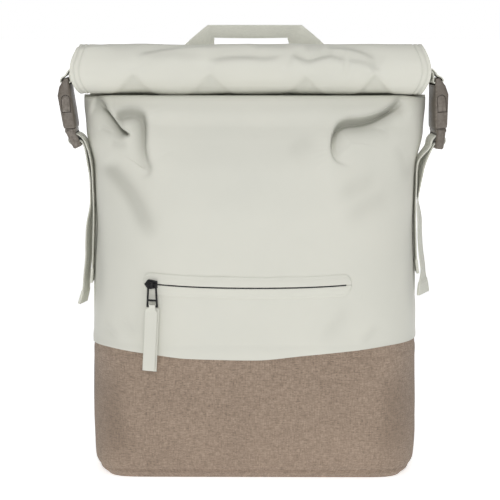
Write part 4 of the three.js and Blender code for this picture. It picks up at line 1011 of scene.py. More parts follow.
# Wrinkles of the roll: points are (x, turn) and turn 180 is its top, 270 its front, 330 its lower edge
rollCreases = [
    {"path": [(-174, 208), (-160, 203), (-148, 197), (-138, 188)],
     "lift": 1.9, "dip": 2.2, "edge": 3.6, "reach": 12, "sink": 10, "shade": 0.08, "fade": (0.1, 0.3)},
    {"path": [(-118, 236), (-104, 226), (-90, 215), (-72, 206), (-52, 201), (-30, 199)],
     "lift": 3.0, "dip": 2.9, "edge": 4.1, "reach": 13, "sink": 11, "shade": 0.08, "fade": (0.2, 0.3)},
    {"path": [(-112, 248), (-98, 240), (-80, 234), (-62, 236), (-45, 239)],
     "lift": 2.0, "dip": 2.0, "edge": 5.1, "reach": 12, "sink": 11, "shade": 0.08, "fade": (0.3, 0.3)},
    {"path": [(-48, 250), (-36, 245), (-20, 240), (-2, 240), (10, 243), (22, 239), (34, 230)],
     "lift": 3.2, "dip": 2.9, "edge": 3.8, "reach": 13, "sink": 11, "shade": 0.08, "fade": (0.2, 0.3)},
    {"path": [(34, 229), (44, 243), (52, 248), (62, 242), (72, 238), (82, 244), (92, 246)],
     "lift": 3.6, "dip": 3.2, "edge": 3.3, "reach": 13, "sink": 11, "shade": 0.08,
     "fade": (0.15, 0.15)},
    {"path": [(88, 246), (100, 250), (112, 258), (121, 270)],
     "lift": 2.7, "dip": 2.6, "edge": 3.6, "reach": 13, "sink": 11, "shade": 0.08,
     "fade": (0.15, 0.25)},
    {"path": [(66, 208), (84, 212), (100, 222), (114, 240), (122, 258)],
     "lift": 3.4, "dip": 2.6, "edge": 4.1, "reach": 14, "sink": 11, "shade": 0.08, "fade": (0.2, 0.25)},
    {"path": [(46, 198), (58, 196), (70, 203)],
     "lift": -2.3, "dip": 1.3, "edge": 5.1, "reach": 11, "sink": 10, "shade": 0.08, "fade": (0.3, 0.3)},
    {"path": [(-6, 205), (14, 203), (36, 210)],
     "lift": 1.4, "dip": 1.6, "edge": 5.6, "reach": 12, "sink": 10, "shade": 0.08, "fade": (0.3, 0.3)},
]
rollRows = []
for row in rollCreases:
    path = [(x, turn * roll["mmPerDegree"]) for x, turn in row["path"]]
    rollRows.append({**row, "path": path})
# Pinches along the lower front: middle, where the point is, half width at the foot and depth
rollPinches = {
    "x": (-117.5, -42.5, 49.5, 116.5),
    "top": (272, 270, 276, 272),
    "half": (12, 13, 12, 11),
    "deep": (1.8, 1.4, 1.7, 2.4),
}


def fromEnd(x, turn):
    # distance to the nearer end of the roll, which bows in at its top and its foot
    return roll["length"] / 2 - np.abs(x - roll["shift"]) - roll["endCurve"] * np.cos(np.radians(turn)) ** 2


def rollLift(x, turn):
    # wrinkles, pinches shaped like a tent, the sewn ends and a little slack
    lift = foldCloth(rollRows, x, turn * roll["mmPerDegree"])[0]
    for middle, top, half, deep in zip(*(rollPinches[k] for k in ("x", "top", "half", "deep"))):
        fall = (turn - top) / 45.0
        wide = np.maximum(fall, 0) * half
        tent = soften(wide - np.abs(x - middle), 2.8) * ease(fall, -0.05, 0.4)
        ridge = np.exp(-((x - middle) / 5.0) ** 2) * ease(fall, -0.25, 0.0) * (1 - ease(fall, 0.1, 0.9))
        lift = lift - deep * tent * (1 - 0.4 * ease(fall, 0.9, 1.6)) + 0.5 * deep * ridge
    lift = lift + roll["slack"] * softNoise(x, turn * roll["mmPerDegree"], 27.0, 21) * ease(turn, 150, 200)
    for inset in roll["seamInset"]:
        lift = lift - roll["seamDepth"] * np.exp(-(((fromEnd(x, turn) - inset) / 0.7) ** 2))
    return lift


def rollPaintedShade(x, turn):
    # shade painted along the wrinkles, in the points of the pinches and along the seams near the ends
    shade = foldCloth(rollRows, x, turn * roll["mmPerDegree"])[2]
    for middle, top, half in zip(*(rollPinches[k] for k in ("x", "top", "half"))):
        fall = (turn - top) / 45.0
        inside = soften(np.maximum(fall, 0) * half - np.abs(x - middle), 2.6)
        shade = np.maximum(shade, 0.16 * inside * ease(fall, 0, 0.2) * (1 - ease(fall, 0.3, 1.3)))
    for inset in roll["seamInset"]:
        shade = np.maximum(shade, roll["seamPaintedShade"] * np.exp(-(((fromEnd(x, turn) - inset) / 0.8) ** 2)))
    return shade * (turn < 370)


def rollLine(turn, share, side):
    # one face of the wound sheet: an ellipse that tightens by the pitch each turn
    half = roll["length"] / 2 - roll["endCurve"] * np.cos(np.radians(turn)) ** 2
    half = rollNeckHalf + (half - rollNeckHalf) * ease(turn, roll["startTurn"], roll["startTurn"] + 40)
    x = roll["shift"] + share * half
    inwards = roll["pitch"] * (turn - roll["startTurn"]) / 360
    outside = ease(turn, 90, 150) * (1 - ease(turn, 360, 400))
    lift = rollLift(x, turn) * outside if side > 0 else 0.0
    grow = lift + side * roll["sheet"] / 2 - inwards
    sag = 1.2 * ease(turn, 300, 340) * (1 - ease(turn, 340, 380)) * np.sin(x / 31.0) if side > 0 else 0.0
    y = rollY + (rollHalfDepth + grow) * np.sin(np.radians(turn))
    z = rollZ - (rollHalfHeight + grow - sag * 0.5) * np.cos(np.radians(turn))
    return np.stack(np.broadcast_arrays(x, y, z), -1)


def rolledTop():
    share = np.linspace(-1, 1, roll["columns"])
    first, last = roll["startTurn"], roll["startTurn"] + 360 * roll["turns"]
    outTurns = np.concatenate([
        np.linspace(first, 400, roll["outerSteps"]),
        np.linspace(408, last, roll["innerSteps"]),
    ])
    inTurns = np.linspace(last, first, roll["innerSteps"] + 20)
    outer = rollLine(outTurns[:, None], share[None], 1)
    inner = rollLine(inTurns[:, None], share[None], -1)
    foot = bagSize["neck"] - roll["tuck"] + 6
    tailZ = np.array([foot, foot + 4, foot + 8])

    def tail(side):
        y = roll["neckBack"] + side * roll["sheet"] / 2
        return np.stack(np.broadcast_arrays(share[None] * rollNeckHalf, y, tailZ[:, None]), -1)

    ring = np.concatenate([tail(1), outer, inner, tail(-1)[::-1], tail(1)[:1]])
    run = runAlong(ring[:, len(share) // 2])
    uv = np.stack(np.broadcast_arrays(ring[..., 0], run[:, None]), -1)
    patches = [gridPatch(ring, uv)]
    # painted shade on the outer face of the sheet
    paintedShade = np.zeros(ring.shape[:2])
    paintedShade[3 : 3 + len(outer)] = rollPaintedShade(outer[..., 0], outTurns[:, None])
    patches[0]["shade"] = paintedShade.ravel()
    for column in (0, -1):  # the two ends, closed between the sheet's faces
        outEdge = np.concatenate([tail(1)[:, column], outer[:, column]])
        inEdge = np.concatenate([tail(-1)[:, column], inner[::-1, column]])
        patches.append(endCap(outEdge, inEdge))
    buildPiece("roll_cloth", patches, coated, "bag", ["rolled_top"])


def endCap(outEdge, inEdge):
    # triangles across a wall's end between two edges with different numbers of points
    n, m = len(outEdge), len(inEdge)
    cut = np.round(np.linspace(0, m - 1, n)).astype(int)
    i = np.arange(n - 1)
    ears = np.stack([i, i + 1, n + cut[i]], -1)
    moved = i[cut[i + 1] > cut[i]]
    fills = [np.stack([moved + 1, n + cut[moved], n + cut[moved + 1]], -1)]
    points = np.concatenate([outEdge, inEdge])
    return {"points": points, "uv": points[:, [1, 2]], "faces": [ears] + fills}


rolledTop()
print("Roll made")

# Webbing, buckle places and the two side straps
web = {
    "width": 25.0,
    "thick": 1.4,
    "edge": 0.55,  # how far in the rounding of its edges reaches
    "hem": 14.0,
}
buckle = {
    "socketLength": 48.3,
    "socketThick": 13.4,
    "bow": 3.0,
    "drop": 7.5,
    "topBar": 3.0,
    "slot": 4.3,
    "ladderThick": 8.6,
    "bar": 2.8,
    "collar": 3.5,
    "tuck": 42.0,
    "softened": 0.5,  # bevel of the moulded edges
}
socketRows = {
    "at": (0.0, 0.05, 0.35, 0.66, 0.84, 1.0),
    "thick": (0.88, 0.93, 0.97, 1.0, 0.78, 0.3),
    "bow": (0.0, 0.08, 0.5, 1.0, 0.7, 0.0),
}
# Buckles and straps of each side: gap, outs in mm, lean, turn, bend, sway and twist in degrees,
# anchor and tail as shares of the neck's height, outs at the tailShares down the free end
tailShares = (0.11, 0.19, 0.28, 0.37, 0.49, 0.6, 0.7, 0.82, 0.9, 1.0)
hangers = [
    {"name": "left", "side": -1, "gap": -2.4, "lean": -3.4, "turn": 0, "bend": 22,
     "anchor": 0.511, "tail": 0.452, "sway": 8, "twist": 12,
     "outs": (5, 3.9, 3.6, 3.7, 6.6, 7, 6.6, 8, 8.6, 12)},
    {"name": "right", "side": 1, "gap": -1.5, "lean": -5, "turn": 7, "bend": 12,
     "anchor": 0.538, "tail": 0.478, "sway": -14, "twist": -30,
     "outs": (7, 5.2, 4.4, 4.6, 6.6, 6.6, 7, 8.6, 8.4, 8.6)},
]


def turnAbout(axis, degrees):
    c, s = math.cos(math.radians(degrees)), math.sin(math.radians(degrees))
    if axis == "Y":
        return np.array([[c, 0, s], [0, 1, 0], [-s, 0, c]])
    return np.array([[c, -s, 0], [s, c, 0], [0, 0, 1]])


def besideBuckle(hanger, out, z):
    # a point beside a buckle: out is its distance from the buckle's middle, away from the bag
    side, lean = hanger["side"], math.radians(hanger["lean"])
    hang = roll["shift"] * side + roll["length"] / 2 + hanger["gap"] + buckle["socketThick"] / 2
    top = np.array([side * hang, rollHeart, rollZ - buckle["drop"]])
    mouth = top - buckle["socketLength"] * np.array([math.sin(lean), 0, math.cos(lean)])
    place = turnAbout("Y", hanger["lean"]) @ turnAbout("Z", hanger["turn"])
    return place @ np.array([side * out, 0, z]) + mouth


def besideLadder(hanger, out, z):
    side = hanger["side"]
    p = turnAbout("Y", side * hanger["bend"]) @ np.array([side * out, 0, z]) + [0, 0, -buckle["collar"]]
    return besideBuckle(hanger, side * p[0], p[2])


def ladderLength(slots):
    return slots * (buckle["slot"] + buckle["bar"]) + buckle["bar"]


def slotMiddle(k):
    return -ladderLength(k) - buckle["slot"] / 2


def ladderLacing(k, behind):
    # way of a web through two slots of a ladder, as (out, height)
    clear, face = bagSize["gap"] + web["thick"] / 2, buckle["ladderThick"] / 2
    middleBar = (slotMiddle(k) + slotMiddle(k + 1)) / 2
    lastBar = slotMiddle(k + 1) - (buckle["slot"] + buckle["bar"]) / 2
    return [
        (behind * (face + clear + web["thick"] + 1.4), lastBar),
        (behind * (face + clear + web["thick"] + 0.4), middleBar - 0.5),
        (behind * face, slotMiddle(k) - 0.2),
        (0, slotMiddle(k) + 0.4),
        (-behind * face, slotMiddle(k) - 0.3),
        (-behind * (face + clear + 0.3), middleBar),
        (-behind * face, slotMiddle(k + 1) + 0.3),
        (0, slotMiddle(k + 1) - 0.4),
        (behind * (face - 0.2), slotMiddle(k + 1)),
        (behind * (face + clear + 0.5), lastBar),
    ]


def flatRing(angle, power):
    # across a flat section, -1 to 1: sign(cos) * |cos| ** power, flatter with a smaller power
    return np.sign(np.cos(angle)) * np.abs(np.cos(angle)) ** power


def webRing(thick, count=44):
    # flat section of a webbing with rounded edges
    half, edge = web["width"] / 2, web["edge"]
    angle = np.linspace(0, 2 * np.pi, count, endpoint=False)
    across = half * flatRing(angle, 0.35)
    near = np.clip(1 - ((np.abs(across) - (half - edge)) / edge).clip(0, 1) ** 2, 0, 1) ** 0.5
    return across, np.sign(np.sin(angle)) * (0.25 + 0.75 * near) * thick / 2


def sweepWeb(name, points, across, nodes, twist=None, thick=None, steps=420):
    # webbing along a path; twist and thick may change with the length left and run
    path = curveThrough(points, steps)
    run = runAlong(path)
    turn = np.radians(twist(run, run[-1] - run)) if twist else np.zeros(steps)
    c, s = np.cos(turn), np.sin(turn)
    level = np.full(steps, float(across[2]))
    wide = np.stack([c * across[0] - s * across[1], s * across[0] + c * across[1], level], -1)
    layers = thick(run, run[-1] - run) if thick else np.ones(steps)
    side, off = webRing(web["thick"])
    patch = sweepPatch(path, wide, side[None], off[None] * layers[:, None])
    buildPiece(name, [patch], webbing, "bag", nodes)
    return path, wide


def sideStrap(hanger):
    # sewn to the side seam, up behind the ladder, out over its middle bar and down as the free end
    side = hanger["side"]
    anchor, tail = hanger["anchor"] * bagSize["neck"], hanger["tail"] * bagSize["neck"]
    clear = bagSize["gap"] + web["thick"] / 2
    atSide = lambda z, out: (side * (float(halfWidth(z / bagSize["neck"])) + out), rollHeart, z)
    top = besideLadder(hanger, 0, -ladderLength(2))[2]
    points = [atSide(anchor, clear + 1.6)]
    points += [atSide(anchor + (top - anchor) * t, clear + 0.5) for t in (0.1, 0.3, 0.5, 0.7, 0.9)]
    points += [tuple(besideLadder(hanger, out, z)) for out, z in ladderLacing(0, -1)]
    points += [atSide(top + (tail - top) * share, out) for share, out in zip(tailShares, hanger["outs"])]
    free = top - tail

    def twist(run, left):
        upperTurn = hanger["turn"] * ease(run, (top - anchor) * 0.9, (top - anchor) * 1.1)
        lower = hanger["twist"] + (hanger["sway"] - hanger["twist"]) * ease(left, 0, web["hem"] * 1.9)
        share = ease(left, free * 0.5, free * 0.85)
        return side * lower * (1 - share) + upperTurn * share

    def thick(run, left):
        near = np.minimum(run, left)
        return 1 + 0.98 * (1 - soften(near - web["hem"], 0.3))

    name = "side_web_" + hanger["name"]
    path, wide = sweepWeb(name, points, (0, 1, 0), ["side_strap_" + hanger["name"]], twist, thick)
    stitches = []
    for _ in range(2):  # one end of the strap, then the other
        path, wide = path[::-1], wide[::-1]
        run = runAlong(path)
        i = int(np.searchsorted(run, web["hem"] - 3.0))
        out = unit(np.cross(path[i] - path[i - 1], wide[i]))
        for face in (1, -1):
            line = path[i] + np.linspace(-1, 1, 9)[:, None] * wide[i] * (web["width"] / 2 - 2)
            line = line + face * out * web["thick"] * 0.98
            stitches.append(stitchRow(line, face * out, 2.4, 1.7, 0.22))
    buildPiece(name + "_stitches", stitches, thread, "bag")


def mouthWeb(hanger):
    # a loop of webbing from the heart of the roll round the socket's top bar and back
    side = hanger["side"]
    end = side * (roll["shift"] * side + roll["length"] / 2)
    barMiddle = buckle["socketLength"] - buckle["topBar"] / 2
    clear = bagSize["gap"] + web["thick"] / 2
    share = 1 - buckle["topBar"] / buckle["socketLength"]
    bar = buckle["bow"] * float(readTable(socketRows, "bow", share))
    half = buckle["socketThick"] / 2 * float(readTable(socketRows, "thick", share))
    under = barMiddle - buckle["topBar"] / 2 - clear - 0.4
    layer = web["thick"] / 2 + 0.7
    inRoll = lambda tuck, z: (end - side * tuck, rollHeart, rollZ + z)
    beside = lambda out, z: tuple(besideBuckle(hanger, out, z))
    over = barMiddle + buckle["topBar"] / 2
    low = barMiddle - buckle["topBar"] * 0.4
    points = [
        inRoll(buckle["tuck"], layer),
        inRoll(buckle["tuck"] / 2, layer),
        inRoll(0, layer),
        beside(bar, over + clear + 1.6),
        beside(bar + half * 0.9, over + clear * 0.8),
        beside(bar + half + clear + 0.5, low),
        beside(bar + half * 0.8, under),
        beside(bar - half * 0.8, under),
        beside(bar - half - clear - 0.5, low),
        beside(bar - half - clear, barMiddle + 2.5),
        inRoll(0, -layer),
        inRoll(buckle["tuck"] / 2, -layer),
        inRoll(buckle["tuck"], -layer),
    ]
    twist = lambda run, left: np.full(run.shape, float(hanger["turn"]))
    nodes = ["mouth_web_" + hanger["name"]]
    sweepWeb("mouth_loop_" + hanger["name"], points, (0, 1, 0), nodes, twist, steps=300)


bevelFrom = 28  # degrees from which an edge of a hard piece is rounded


def softenedCopy(node, name, material, body, width):
    # a copy of a hard node with its corners welded and its edges rounded
    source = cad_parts[node]
    mesh = source.data.copy()
    mesh.name = name
    bm = bmesh.new()
    bm.from_mesh(mesh)
    bmesh.ops.remove_doubles(bm, verts=bm.verts, dist=1e-6)
    bmesh.ops.dissolve_limit(bm, angle_limit=math.radians(1.0), verts=bm.verts, edges=bm.edges)
    bmesh.ops.recalc_face_normals(bm, faces=bm.faces)
    least = math.radians(bevelFrom)
    sharp = [e for e in bm.edges if len(e.link_faces) == 2 and e.calc_face_angle(0) > least]
    bmesh.ops.bevel(
        bm, geom=sharp, offset=width * mm, segments=2, profile=0.5, affect="EDGES", clamp_overlap=True
    )
    bm.to_mesh(mesh)
    bm.free()
    mesh.materials.clear()
    mesh.materials.append(material)
    mesh.shade_smooth()
    mesh.set_sharp_from_angle(angle=math.radians(35))
    piece = bpy.data.objects.new(name, mesh)
    bpy.context.scene.collection.objects.link(piece)
    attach(piece, body)
    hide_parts(node)


# node and name of each hard piece, and its bevel as a share of the usual one
hardPieces = (
    ("buckle_socket_", "socket_", 1.0),
    ("buckle_plug_", "plug_", 0.7),
    ("adjuster_", "ladder_", 1.0),
)
for hanger in hangers:
    sideStrap(hanger)
    mouthWeb(hanger)
    for node, name, share in hardPieces:
        node, name = node + hanger["name"], name + hanger["name"]
        softenedCopy(node, name, plastic, "bag", buckle["softened"] * share)
print("Side straps and buckles made")

# Zip pocket: two cloth lips over a black chain, the slider and the pull with its folded tab
zipper = {
    "height": 198.0,
    "dip": 3.4,
    "left": -106.0,
    "right": 93.0,
    "tall": 21.0,
    "thick": 0.9,
    "slit": 1.05,
    "inset": 5.0,
    "teethPitch": 1.5,
    "endRound": 7.0,
}
# Height of the welt's skin at these distances from the slit, and from the outer edge inwards
weltSkin = {
    "in": (0.0, 0.0, 0.25, 0.8, 2.0, 3.6),
    "inHeight": (0.32, 0.85, 1.2, 1.4, 1.4, 1.3),
    "halfway": 0.55,
    "halfwayHeight": 1.12,
    "edge": (3.2, 2.6, 2.0, 1.2, 0.5, 0.0),
    "edgeHeight": (1.0, 0.72, 0.86, 0.7, 0.5, 0.32),
}


def zipLine(x):
    return zipper["height"] + zipper["dip"] * (x / max(-zipper["left"], zipper["right"])) ** 2


def onFront(x, z, off):
    # a point standing off the front at a given x and z, and the way out there
    at = z / bagSize["neck"]
    for _ in range(6):
        across = acrossAt(x, at)
        point = plainPoint(across, -1, at)
        at = at + (z - point[..., 2]) / bagSize["neck"]
    normal = plainNormal(across, -1, at)
    return point + normal * np.asarray(off)[..., None], normal


def pocketWelt():
    # one plate whose skin dips into the slit: a ring of profiles round the slit line
    columns = 240
    share = np.linspace(-1, 1, columns)
    middle, half = (zipper["left"] + zipper["right"]) / 2, (zipper["right"] - zipper["left"]) / 2
    x = middle + half * share
    toEnd = half - np.abs(x - middle)
    slitHalf = zipper["slit"] / 2 * ease(toEnd - zipper["inset"], -0.4, 0.8) + 0.05
    tall = zipper["tall"] / 2
    edge = [tall - inwards for inwards in weltSkin["edge"]]
    rows = np.array([*weltSkin["in"], tall * weltSkin["halfway"], *edge])[:, None]
    off = np.array([*weltSkin["inHeight"], weltSkin["halfwayHeight"], *weltSkin["edgeHeight"]])[:, None]
    # the ends are round: a quarter of a circle, 1 before it begins and nearly 0 at the end
    into = np.clip(1 - toEnd / zipper["endRound"], 0, 1)
    rounded = np.sqrt(np.clip(1 - into**2 * 0.99, 0, 1))
    reach = np.where(rows < tall * 0.5, slitHalf * (1 - rows / (tall * 0.5)), 0)
    reach = reach + rows * (1 - (1 - rounded) * ease(rows, 1.0, 4.0))
    height = bagSize["gap"] + (off - bagSize["gap"]) * (0.25 + 0.75 * ease(toEnd, 0, 0.9))
    endStitch = np.exp(-(((toEnd - 2.6) / 0.5) ** 2)) * 0.18 * (rows > 0.3)
    patches = []
    for side in (-1, 1):
        wave = 0.16 * softNoise(x, np.full(columns, 30.0 * side), 16.0, 41) * rows / tall
        z = zipLine(x) + side * reach
        wide = np.broadcast_to(x, z.shape)
        top, _ = onFront(wide, z, height + wave - endStitch)
        under, _ = onFront(wide, z, np.full(z.shape, 0.1))
        grid = np.concatenate([top, under[::-1]])
        grid = np.concatenate([grid, grid[:1]])
        ends = [np.broadcast_to(grid[:-1, k].mean(0), grid[:, k].shape)[:, None] for k in (0, -1)]
        grid = np.concatenate([ends[0], grid, ends[1]], 1)
        uv = np.stack([grid[..., 0], grid[..., 2]], -1)
        patches.append(gridPatch(grid, uv))
    buildPiece("pocket_lips", patches, coated, "bag", ["pocket_welt"])


def zipTeeth():
    # coil teeth: short bars across the chain, their middles staggered
    first, last = zipper["left"] + zipper["inset"] + 1.2, zipper["right"] - zipper["inset"] - 1.0
    x = np.arange(first, last, zipper["teethPitch"] / 2)
    turn = np.where(np.arange(len(x)) % 2 == 0, 1.0, -1.0)
    low, out = onFront(x, zipLine(x) + turn * 0.15 - 0.55, np.full(x.shape, 0.98))
    high, _ = onFront(x, zipLine(x) + turn * 0.15 + 0.55, np.full(x.shape, 0.98))
    buildPiece("zip_teeth", [stitchPatch(low, high, out, 0.2)], metal, "bag")
    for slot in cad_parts["zip_chain"].material_slots:
        slot.material = metal


pull = {
    "width": 12.0,
    "thick": 2.8,
    "lean": 3.4,
    "turn": -8.0,
    "layer": 1.25,
    "peek": 0.8,  # how far each layer shows beside the other
    "softened": 0.35,  # bevel of the metal edges
}


def pullTab():
    # two layers of cloth from the frame's foot bar down, parted a little and cut on a slant
    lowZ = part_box("pull_tab")[0][2] / mm
    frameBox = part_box("pull_frame")
    barZ = frameBox[0][2] / mm + 0.85
    barX = (frameBox[0][0] + frameBox[1][0]) / 2 / mm
    barY = (frameBox[0][1] + frameBox[1][1]) / 2 / mm
    rows = np.linspace(0, 1, 70)
    z = barZ + 1.7 - rows * (barZ + 1.7 - lowZ - 0.4)
    down = (barZ - z) / (barZ - lowZ)
    leanX = barX - pull["lean"] * down.clip(0, 1)
    neck = ease(barZ - z, 1.0, 4.5)
    halfWide = (6.2 + (pull["width"] - 6.2) * neck) / 2
    patches = []
    for side in (-1, 1):
        part = 0.75 + 0.55 * (1 - neck) + 0.18 * side * np.sin(down * 5)
        y = barY + side * (part + pull["layer"] / 2 - 0.1)
        path = np.stack([leanX + pull["peek"] * side * neck, y, z], -1)
        path[:, 2] -= 0.9 * (side > 0) * down.clip(0, 1)
        turn = np.radians(pull["turn"]) * neck
        wide = np.stack([np.cos(turn), np.sin(turn), 0.12 * ease(down, 0.9, 1)], -1)
        angle = np.linspace(0, 2 * np.pi, 36, endpoint=False)
        flat = flatRing(angle, 0.4)
        rim = np.exp(-(((1 - np.abs(flat)) * halfWide[:, None] - 1.6) ** 2) / 0.25) * 0.12
        half = pull["layer"] / 2 * (1 - 0.75 * np.abs(flat) ** 14)
        off = np.sign(np.sin(angle)) * (half - rim * neck[:, None])
        patches.append(sweepPatch(path, wide, flat * halfWide[:, None], off))
    buildPiece("pull_cloth", patches, coated, "pull", ["pull_tab"])


pocketWelt()
zipTeeth()
softenedCopy("zip_slider", "slider_body", metal, "bag", pull["softened"])
softenedCopy("pull_frame", "pull_wire", metal, "pull", pull["softened"])
pullTab()
print("Zip made")

# Grab handle: webbing folded double along the run and opened flat down to the back of the neck
handle = {
    "rise": 442.7,
    "halfRun": 46.6,
    "thick": 1.7,
    "tuck": 2.3,
    "ribs": 9,
    "foldIn": 7.5,  # how much further the right leg's fold covers the opening
}
handleRows = {
    "at": (0.0, 0.2, 0.4, 0.6, 0.8, 1.0),
    "outX": (1.0, 1.24, 1.5, 1.84, 2.12, 2.28),
    "outDrop": (0.0, 0.123, 0.267, 0.466, 0.671, 0.877),
    "inX": (0.86, 0.86, 0.95, 1.25, 1.56, 1.76),
    "inDrop": (0.171, 0.274, 0.452, 0.63, 0.822, 1.0),
    "thick": (2.0, 1.5, 1.0, 1.0, 1.0, 1.0),
}


def backYAt(x, z):
    # how far back the bag reaches at a given x and height
    at = z / bagSize["neck"]
    for _ in range(6):
        across = acrossAt(x, at)
        point = plainPoint(across, 1, at)
        at = np.clip(at + (z - point[..., 2]) / bagSize["neck"], 0.3, 0.972)
    return point[..., 1]


def grabHandle():
    # a band between an outer and an inner edge line, from one leg over the run to the other
    drop = handle["rise"] - (bagSize["neck"] - handle["tuck"])
    stand = rollY + roll["depth"] / 2 + bagSize["gap"] + handle["thick"]
    t = np.linspace(0, 1, 90)

    def edge(column, side):
        x = side * handle["halfRun"] * readTable(handleRows, column + "X", t)
        if column == "in" and side > 0:
            x = x - handle["foldIn"] * (1 - ease(t, 0.0, 0.6))
        z = handle["rise"] - drop * readTable(handleRows, column + "Drop", t)
        low = backYAt(x, z) + bagSize["gap"] + handle["thick"] / 2 + 0.6
        lean = 4 * ease(z, handle["rise"] - 45, handle["rise"])
        return np.stack([x, np.maximum(stand + lean, low), z], -1)

    legs = [(edge("out", s), edge("in", s), readTable(handleRows, "thick", t)) for s in (-1, 1)]
    run = np.linspace(0, 1, 60)[1:-1, None]
    top = [legs[0][k][0] * (1 - run) + legs[1][k][0] * run for k in (0, 1)]
    sag = 0.5 * np.sin(np.pi * run[:, 0])
    outer = np.concatenate([legs[0][0][::-1], top[0], legs[1][0]])
    inner = np.concatenate([legs[0][1][::-1], top[1], legs[1][1]])
    thick = np.concatenate([legs[0][2][::-1], np.full(len(top[0]), 2.0), legs[1][2]]) * handle["thick"]
    inner[len(t): len(t) + len(sag), 2] -= sag
    share = np.linspace(0, 1, 30)
    face = outer[:, None] * (1 - share[None, :, None]) + inner[:, None] * share[None, :, None]
    rib = 0.07 * np.cos(share * 2 * np.pi * handle["ribs"])
    x = face[..., 0]
    fold = 0.5 * np.exp(-(((np.abs(x) - handle["halfRun"] * 0.93) / 2.2) ** 2)) * np.sin(share * 9)[None]
    wave = 0.35 * softNoise(x, face[..., 2], 12.0, 51) + fold * (np.abs(x) < handle["halfRun"] * 1.1)
    rounded = np.sqrt(np.clip(1 - (np.abs(share - 0.5) * 2) ** 10, 0, 1))
    half = thick[:, None] / 2 * (0.25 + 0.75 * rounded)[None]
    front = face + np.stack([0 * x, wave * 0.5 - half - rib, 0 * x], -1)
    back = face + np.stack([0 * x, wave * 0.5 + half + rib, 0 * x], -1)
    grid = np.concatenate([front, back[:, ::-1], front[:, :1]], 1)
    caps = [np.broadcast_to(grid[k].mean(0), grid[k].shape)[None] for k in (0, -1)]
    grid = np.concatenate([caps[0], grid, caps[1]])
    length = np.concatenate([[0], runAlong(outer), [0]])
    tall = np.concatenate([share, 2 - share, [0]]) * 16
    uv = np.stack(np.broadcast_arrays(length[:, None], tall[None]), -1)
    buildPiece("handle_web", [gridPatch(grid, uv)], webbing, "bag", ["grab_handle"])


grabHandle()
print("Handle made")

# Shoulder straps on the plain back, with the loop, ladder and web under each
strap = {
    "width": 62.0,
    "thick": 8.0,
    "top": 342.0,
    "end": 122.0,
    "inset": 38.0,
    "splay": 66.0,
    "bow": 38.0,
    "binding": 5.0,
    "stitchIn": 6.5,
    "webFoot": 34.0,
    "webTail": 52.0,
    "loop": 15.0,
}
strapRows = {
    "at": (0.0, 0.06, 0.18, 0.34, 0.5, 0.68, 0.86, 0.96, 1.0),
    "splay": (0.0, 0.03, 0.12, 0.3, 0.5, 0.72, 0.87, 0.955, 1.0),
    "bow": (0.0, 0.1, 0.48, 0.85, 1.0, 0.9, 0.42, 0.26, 0.24),
    "wide": (0.86, 0.94, 1.0, 1.0, 0.98, 0.93, 0.84, 0.7, 0.6),
    "thick": (0.5, 0.8, 1.0, 1.0, 1.0, 1.0, 1.0, 0.9, 0.7),
}


def strapMiddle(side, down):
    z = strap["top"] + (strap["end"] - strap["top"]) * down
    x = side * (strap["inset"] + strap["splay"] * readTable(strapRows, "splay", down))
    off = bagSize["gap"] + strap["thick"] * readTable(strapRows, "thick", down) / 2 + 0.6
    off = off + strap["bow"] * readTable(strapRows, "bow", down)
    y = backYAt(x, np.maximum(z, bagSize["neck"] * 0.6)) + off
    return np.stack([x, y, z], -1)


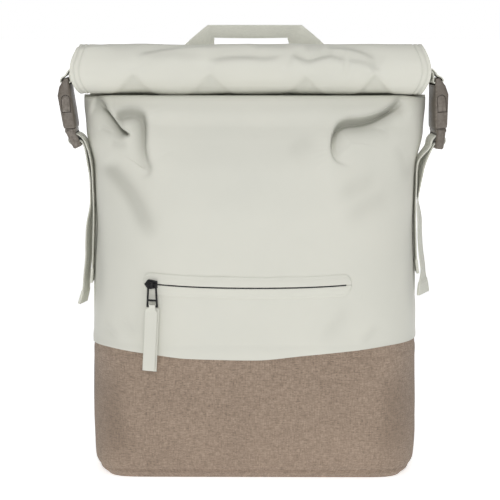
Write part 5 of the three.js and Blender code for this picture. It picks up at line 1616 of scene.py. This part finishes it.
def shoulderStrap(side, name):
    down = np.linspace(0, 1, 150)
    path = strapMiddle(side, down)
    wide = strap["width"] / 2 * readTable(strapRows, "wide", down)
    thick = strap["thick"] / 2 * readTable(strapRows, "thick", down)
    angle = np.linspace(0, 2 * np.pi, 90, endpoint=False)
    flat = flatRing(angle, 0.42)
    inner = (1 - np.abs(flat))[None] * wide[:, None]
    crown = 0.55 + 0.45 * ease(inner, strap["binding"], strap["binding"] + 9)
    groove = 0.35 * np.exp(-(((inner - strap["stitchIn"]) / 0.7) ** 2))
    lip = np.sqrt(np.clip(1 - ((1.4 - inner) / 1.4).clip(0, 1) ** 2, 0, 1))
    off = np.sign(np.sin(angle))[None] * (thick[:, None] * crown * (0.25 + 0.75 * lip) - groove)
    patch = sweepPatch(path, np.broadcast_to([1.0, 0, 0], path.shape), flat[None] * wide[:, None], off)
    nodes = ["shoulder_strap_" + name]
    piece = buildPiece("strap_pad_" + name, [patch], coated, "bag", nodes)
    along = unit(np.gradient(path, axis=0))
    across = unit(np.array([[1.0, 0, 0]]) - along * along[:, :1])
    out = np.cross(along, across)
    rows = []
    for edge in (-1, 1):
        for face in (-1, 1):
            inset = wide - strap["stitchIn"]
            line = path + edge * across * inset[:, None] + face * out * (thick * 0.58 - 0.2)[:, None]
            rows.append(stitchRow(line[3:-6], face * out[3:-6], 3.4, 2.4, 0.24))
    buildPiece("strap_stitches_" + name, rows, thread, "bag")
    return piece


def strapHardware(side, name):
    # loop and web through the ladder that hangs under the strap's end
    end = strapMiddle(side, np.array(1.0))
    clear = bagSize["gap"] + web["thick"] / 2
    anchorX = side * (bagSize["width"] / 2 - web["width"])
    anchor = np.array([anchorX, bagSize["back"] + clear, strap["webFoot"]])
    down = unit(anchor - end)
    across = unit(np.array([1.0, 0, 0]) - down * down[0])
    inwards = unit(np.cross(down, across))
    place = np.stack([inwards, across, np.cross(inwards, across)], -1)
    seat = end + down * (bagSize["gap"] + 1.2)

    def local(x, z):
        return place @ np.array([x, 0, z]) + seat

    foot = local(0, -ladderLength(3))

    def tailPoint(share, off):
        z = foot[2] + (strap["webTail"] - foot[2]) * share
        x = foot[0] + (anchor[0] - foot[0]) * (foot[2] - z) / (foot[2] - anchor[2]) * 0.9
        return np.array([x, foot[1] + off, z])

    loopFace = max(buckle["ladderThick"], strap["thick"] * 0.7) / 2 + clear
    # down one face of the ladder and round its top bar, then up the other face
    face = [
        (loopFace + 2.4, strap["loop"]),
        (loopFace + 0.9, 2),
        (loopFace + 0.7, -buckle["bar"] * 0.7),
        (buckle["ladderThick"] * 0.36, -buckle["bar"] - clear - 0.8),
    ]
    loop = [local(x, z) for x, z in face] + [local(-x, z) for x, z in face[::-1]]
    lower = [anchor, np.array([anchor[0] - side * 2.5, anchor[1] + 0.6, strap["webFoot"] + 12])]
    lower += [local(*p) for p in ladderLacing(1, 1)]
    lower += [tailPoint(0.3, 3), tailPoint(0.7, 7), tailPoint(1, 9)]

    def thick(run, left):
        # double at the hem of the free end
        return 1 + 0.98 * (1 - soften(left - web["hem"] * 0.8, 0.3))

    sweepWeb("strap_sling_" + name, loop, across, ["strap_loop_" + name], steps=160)
    sweepWeb("strap_tail_" + name, lower, across, ["strap_web_" + name], thick=thick, steps=360)


for side, name in ((-1, "left"), (1, "right")):
    shoulderStrap(side, name)
    strapHardware(side, name)
print("Shoulder straps made")
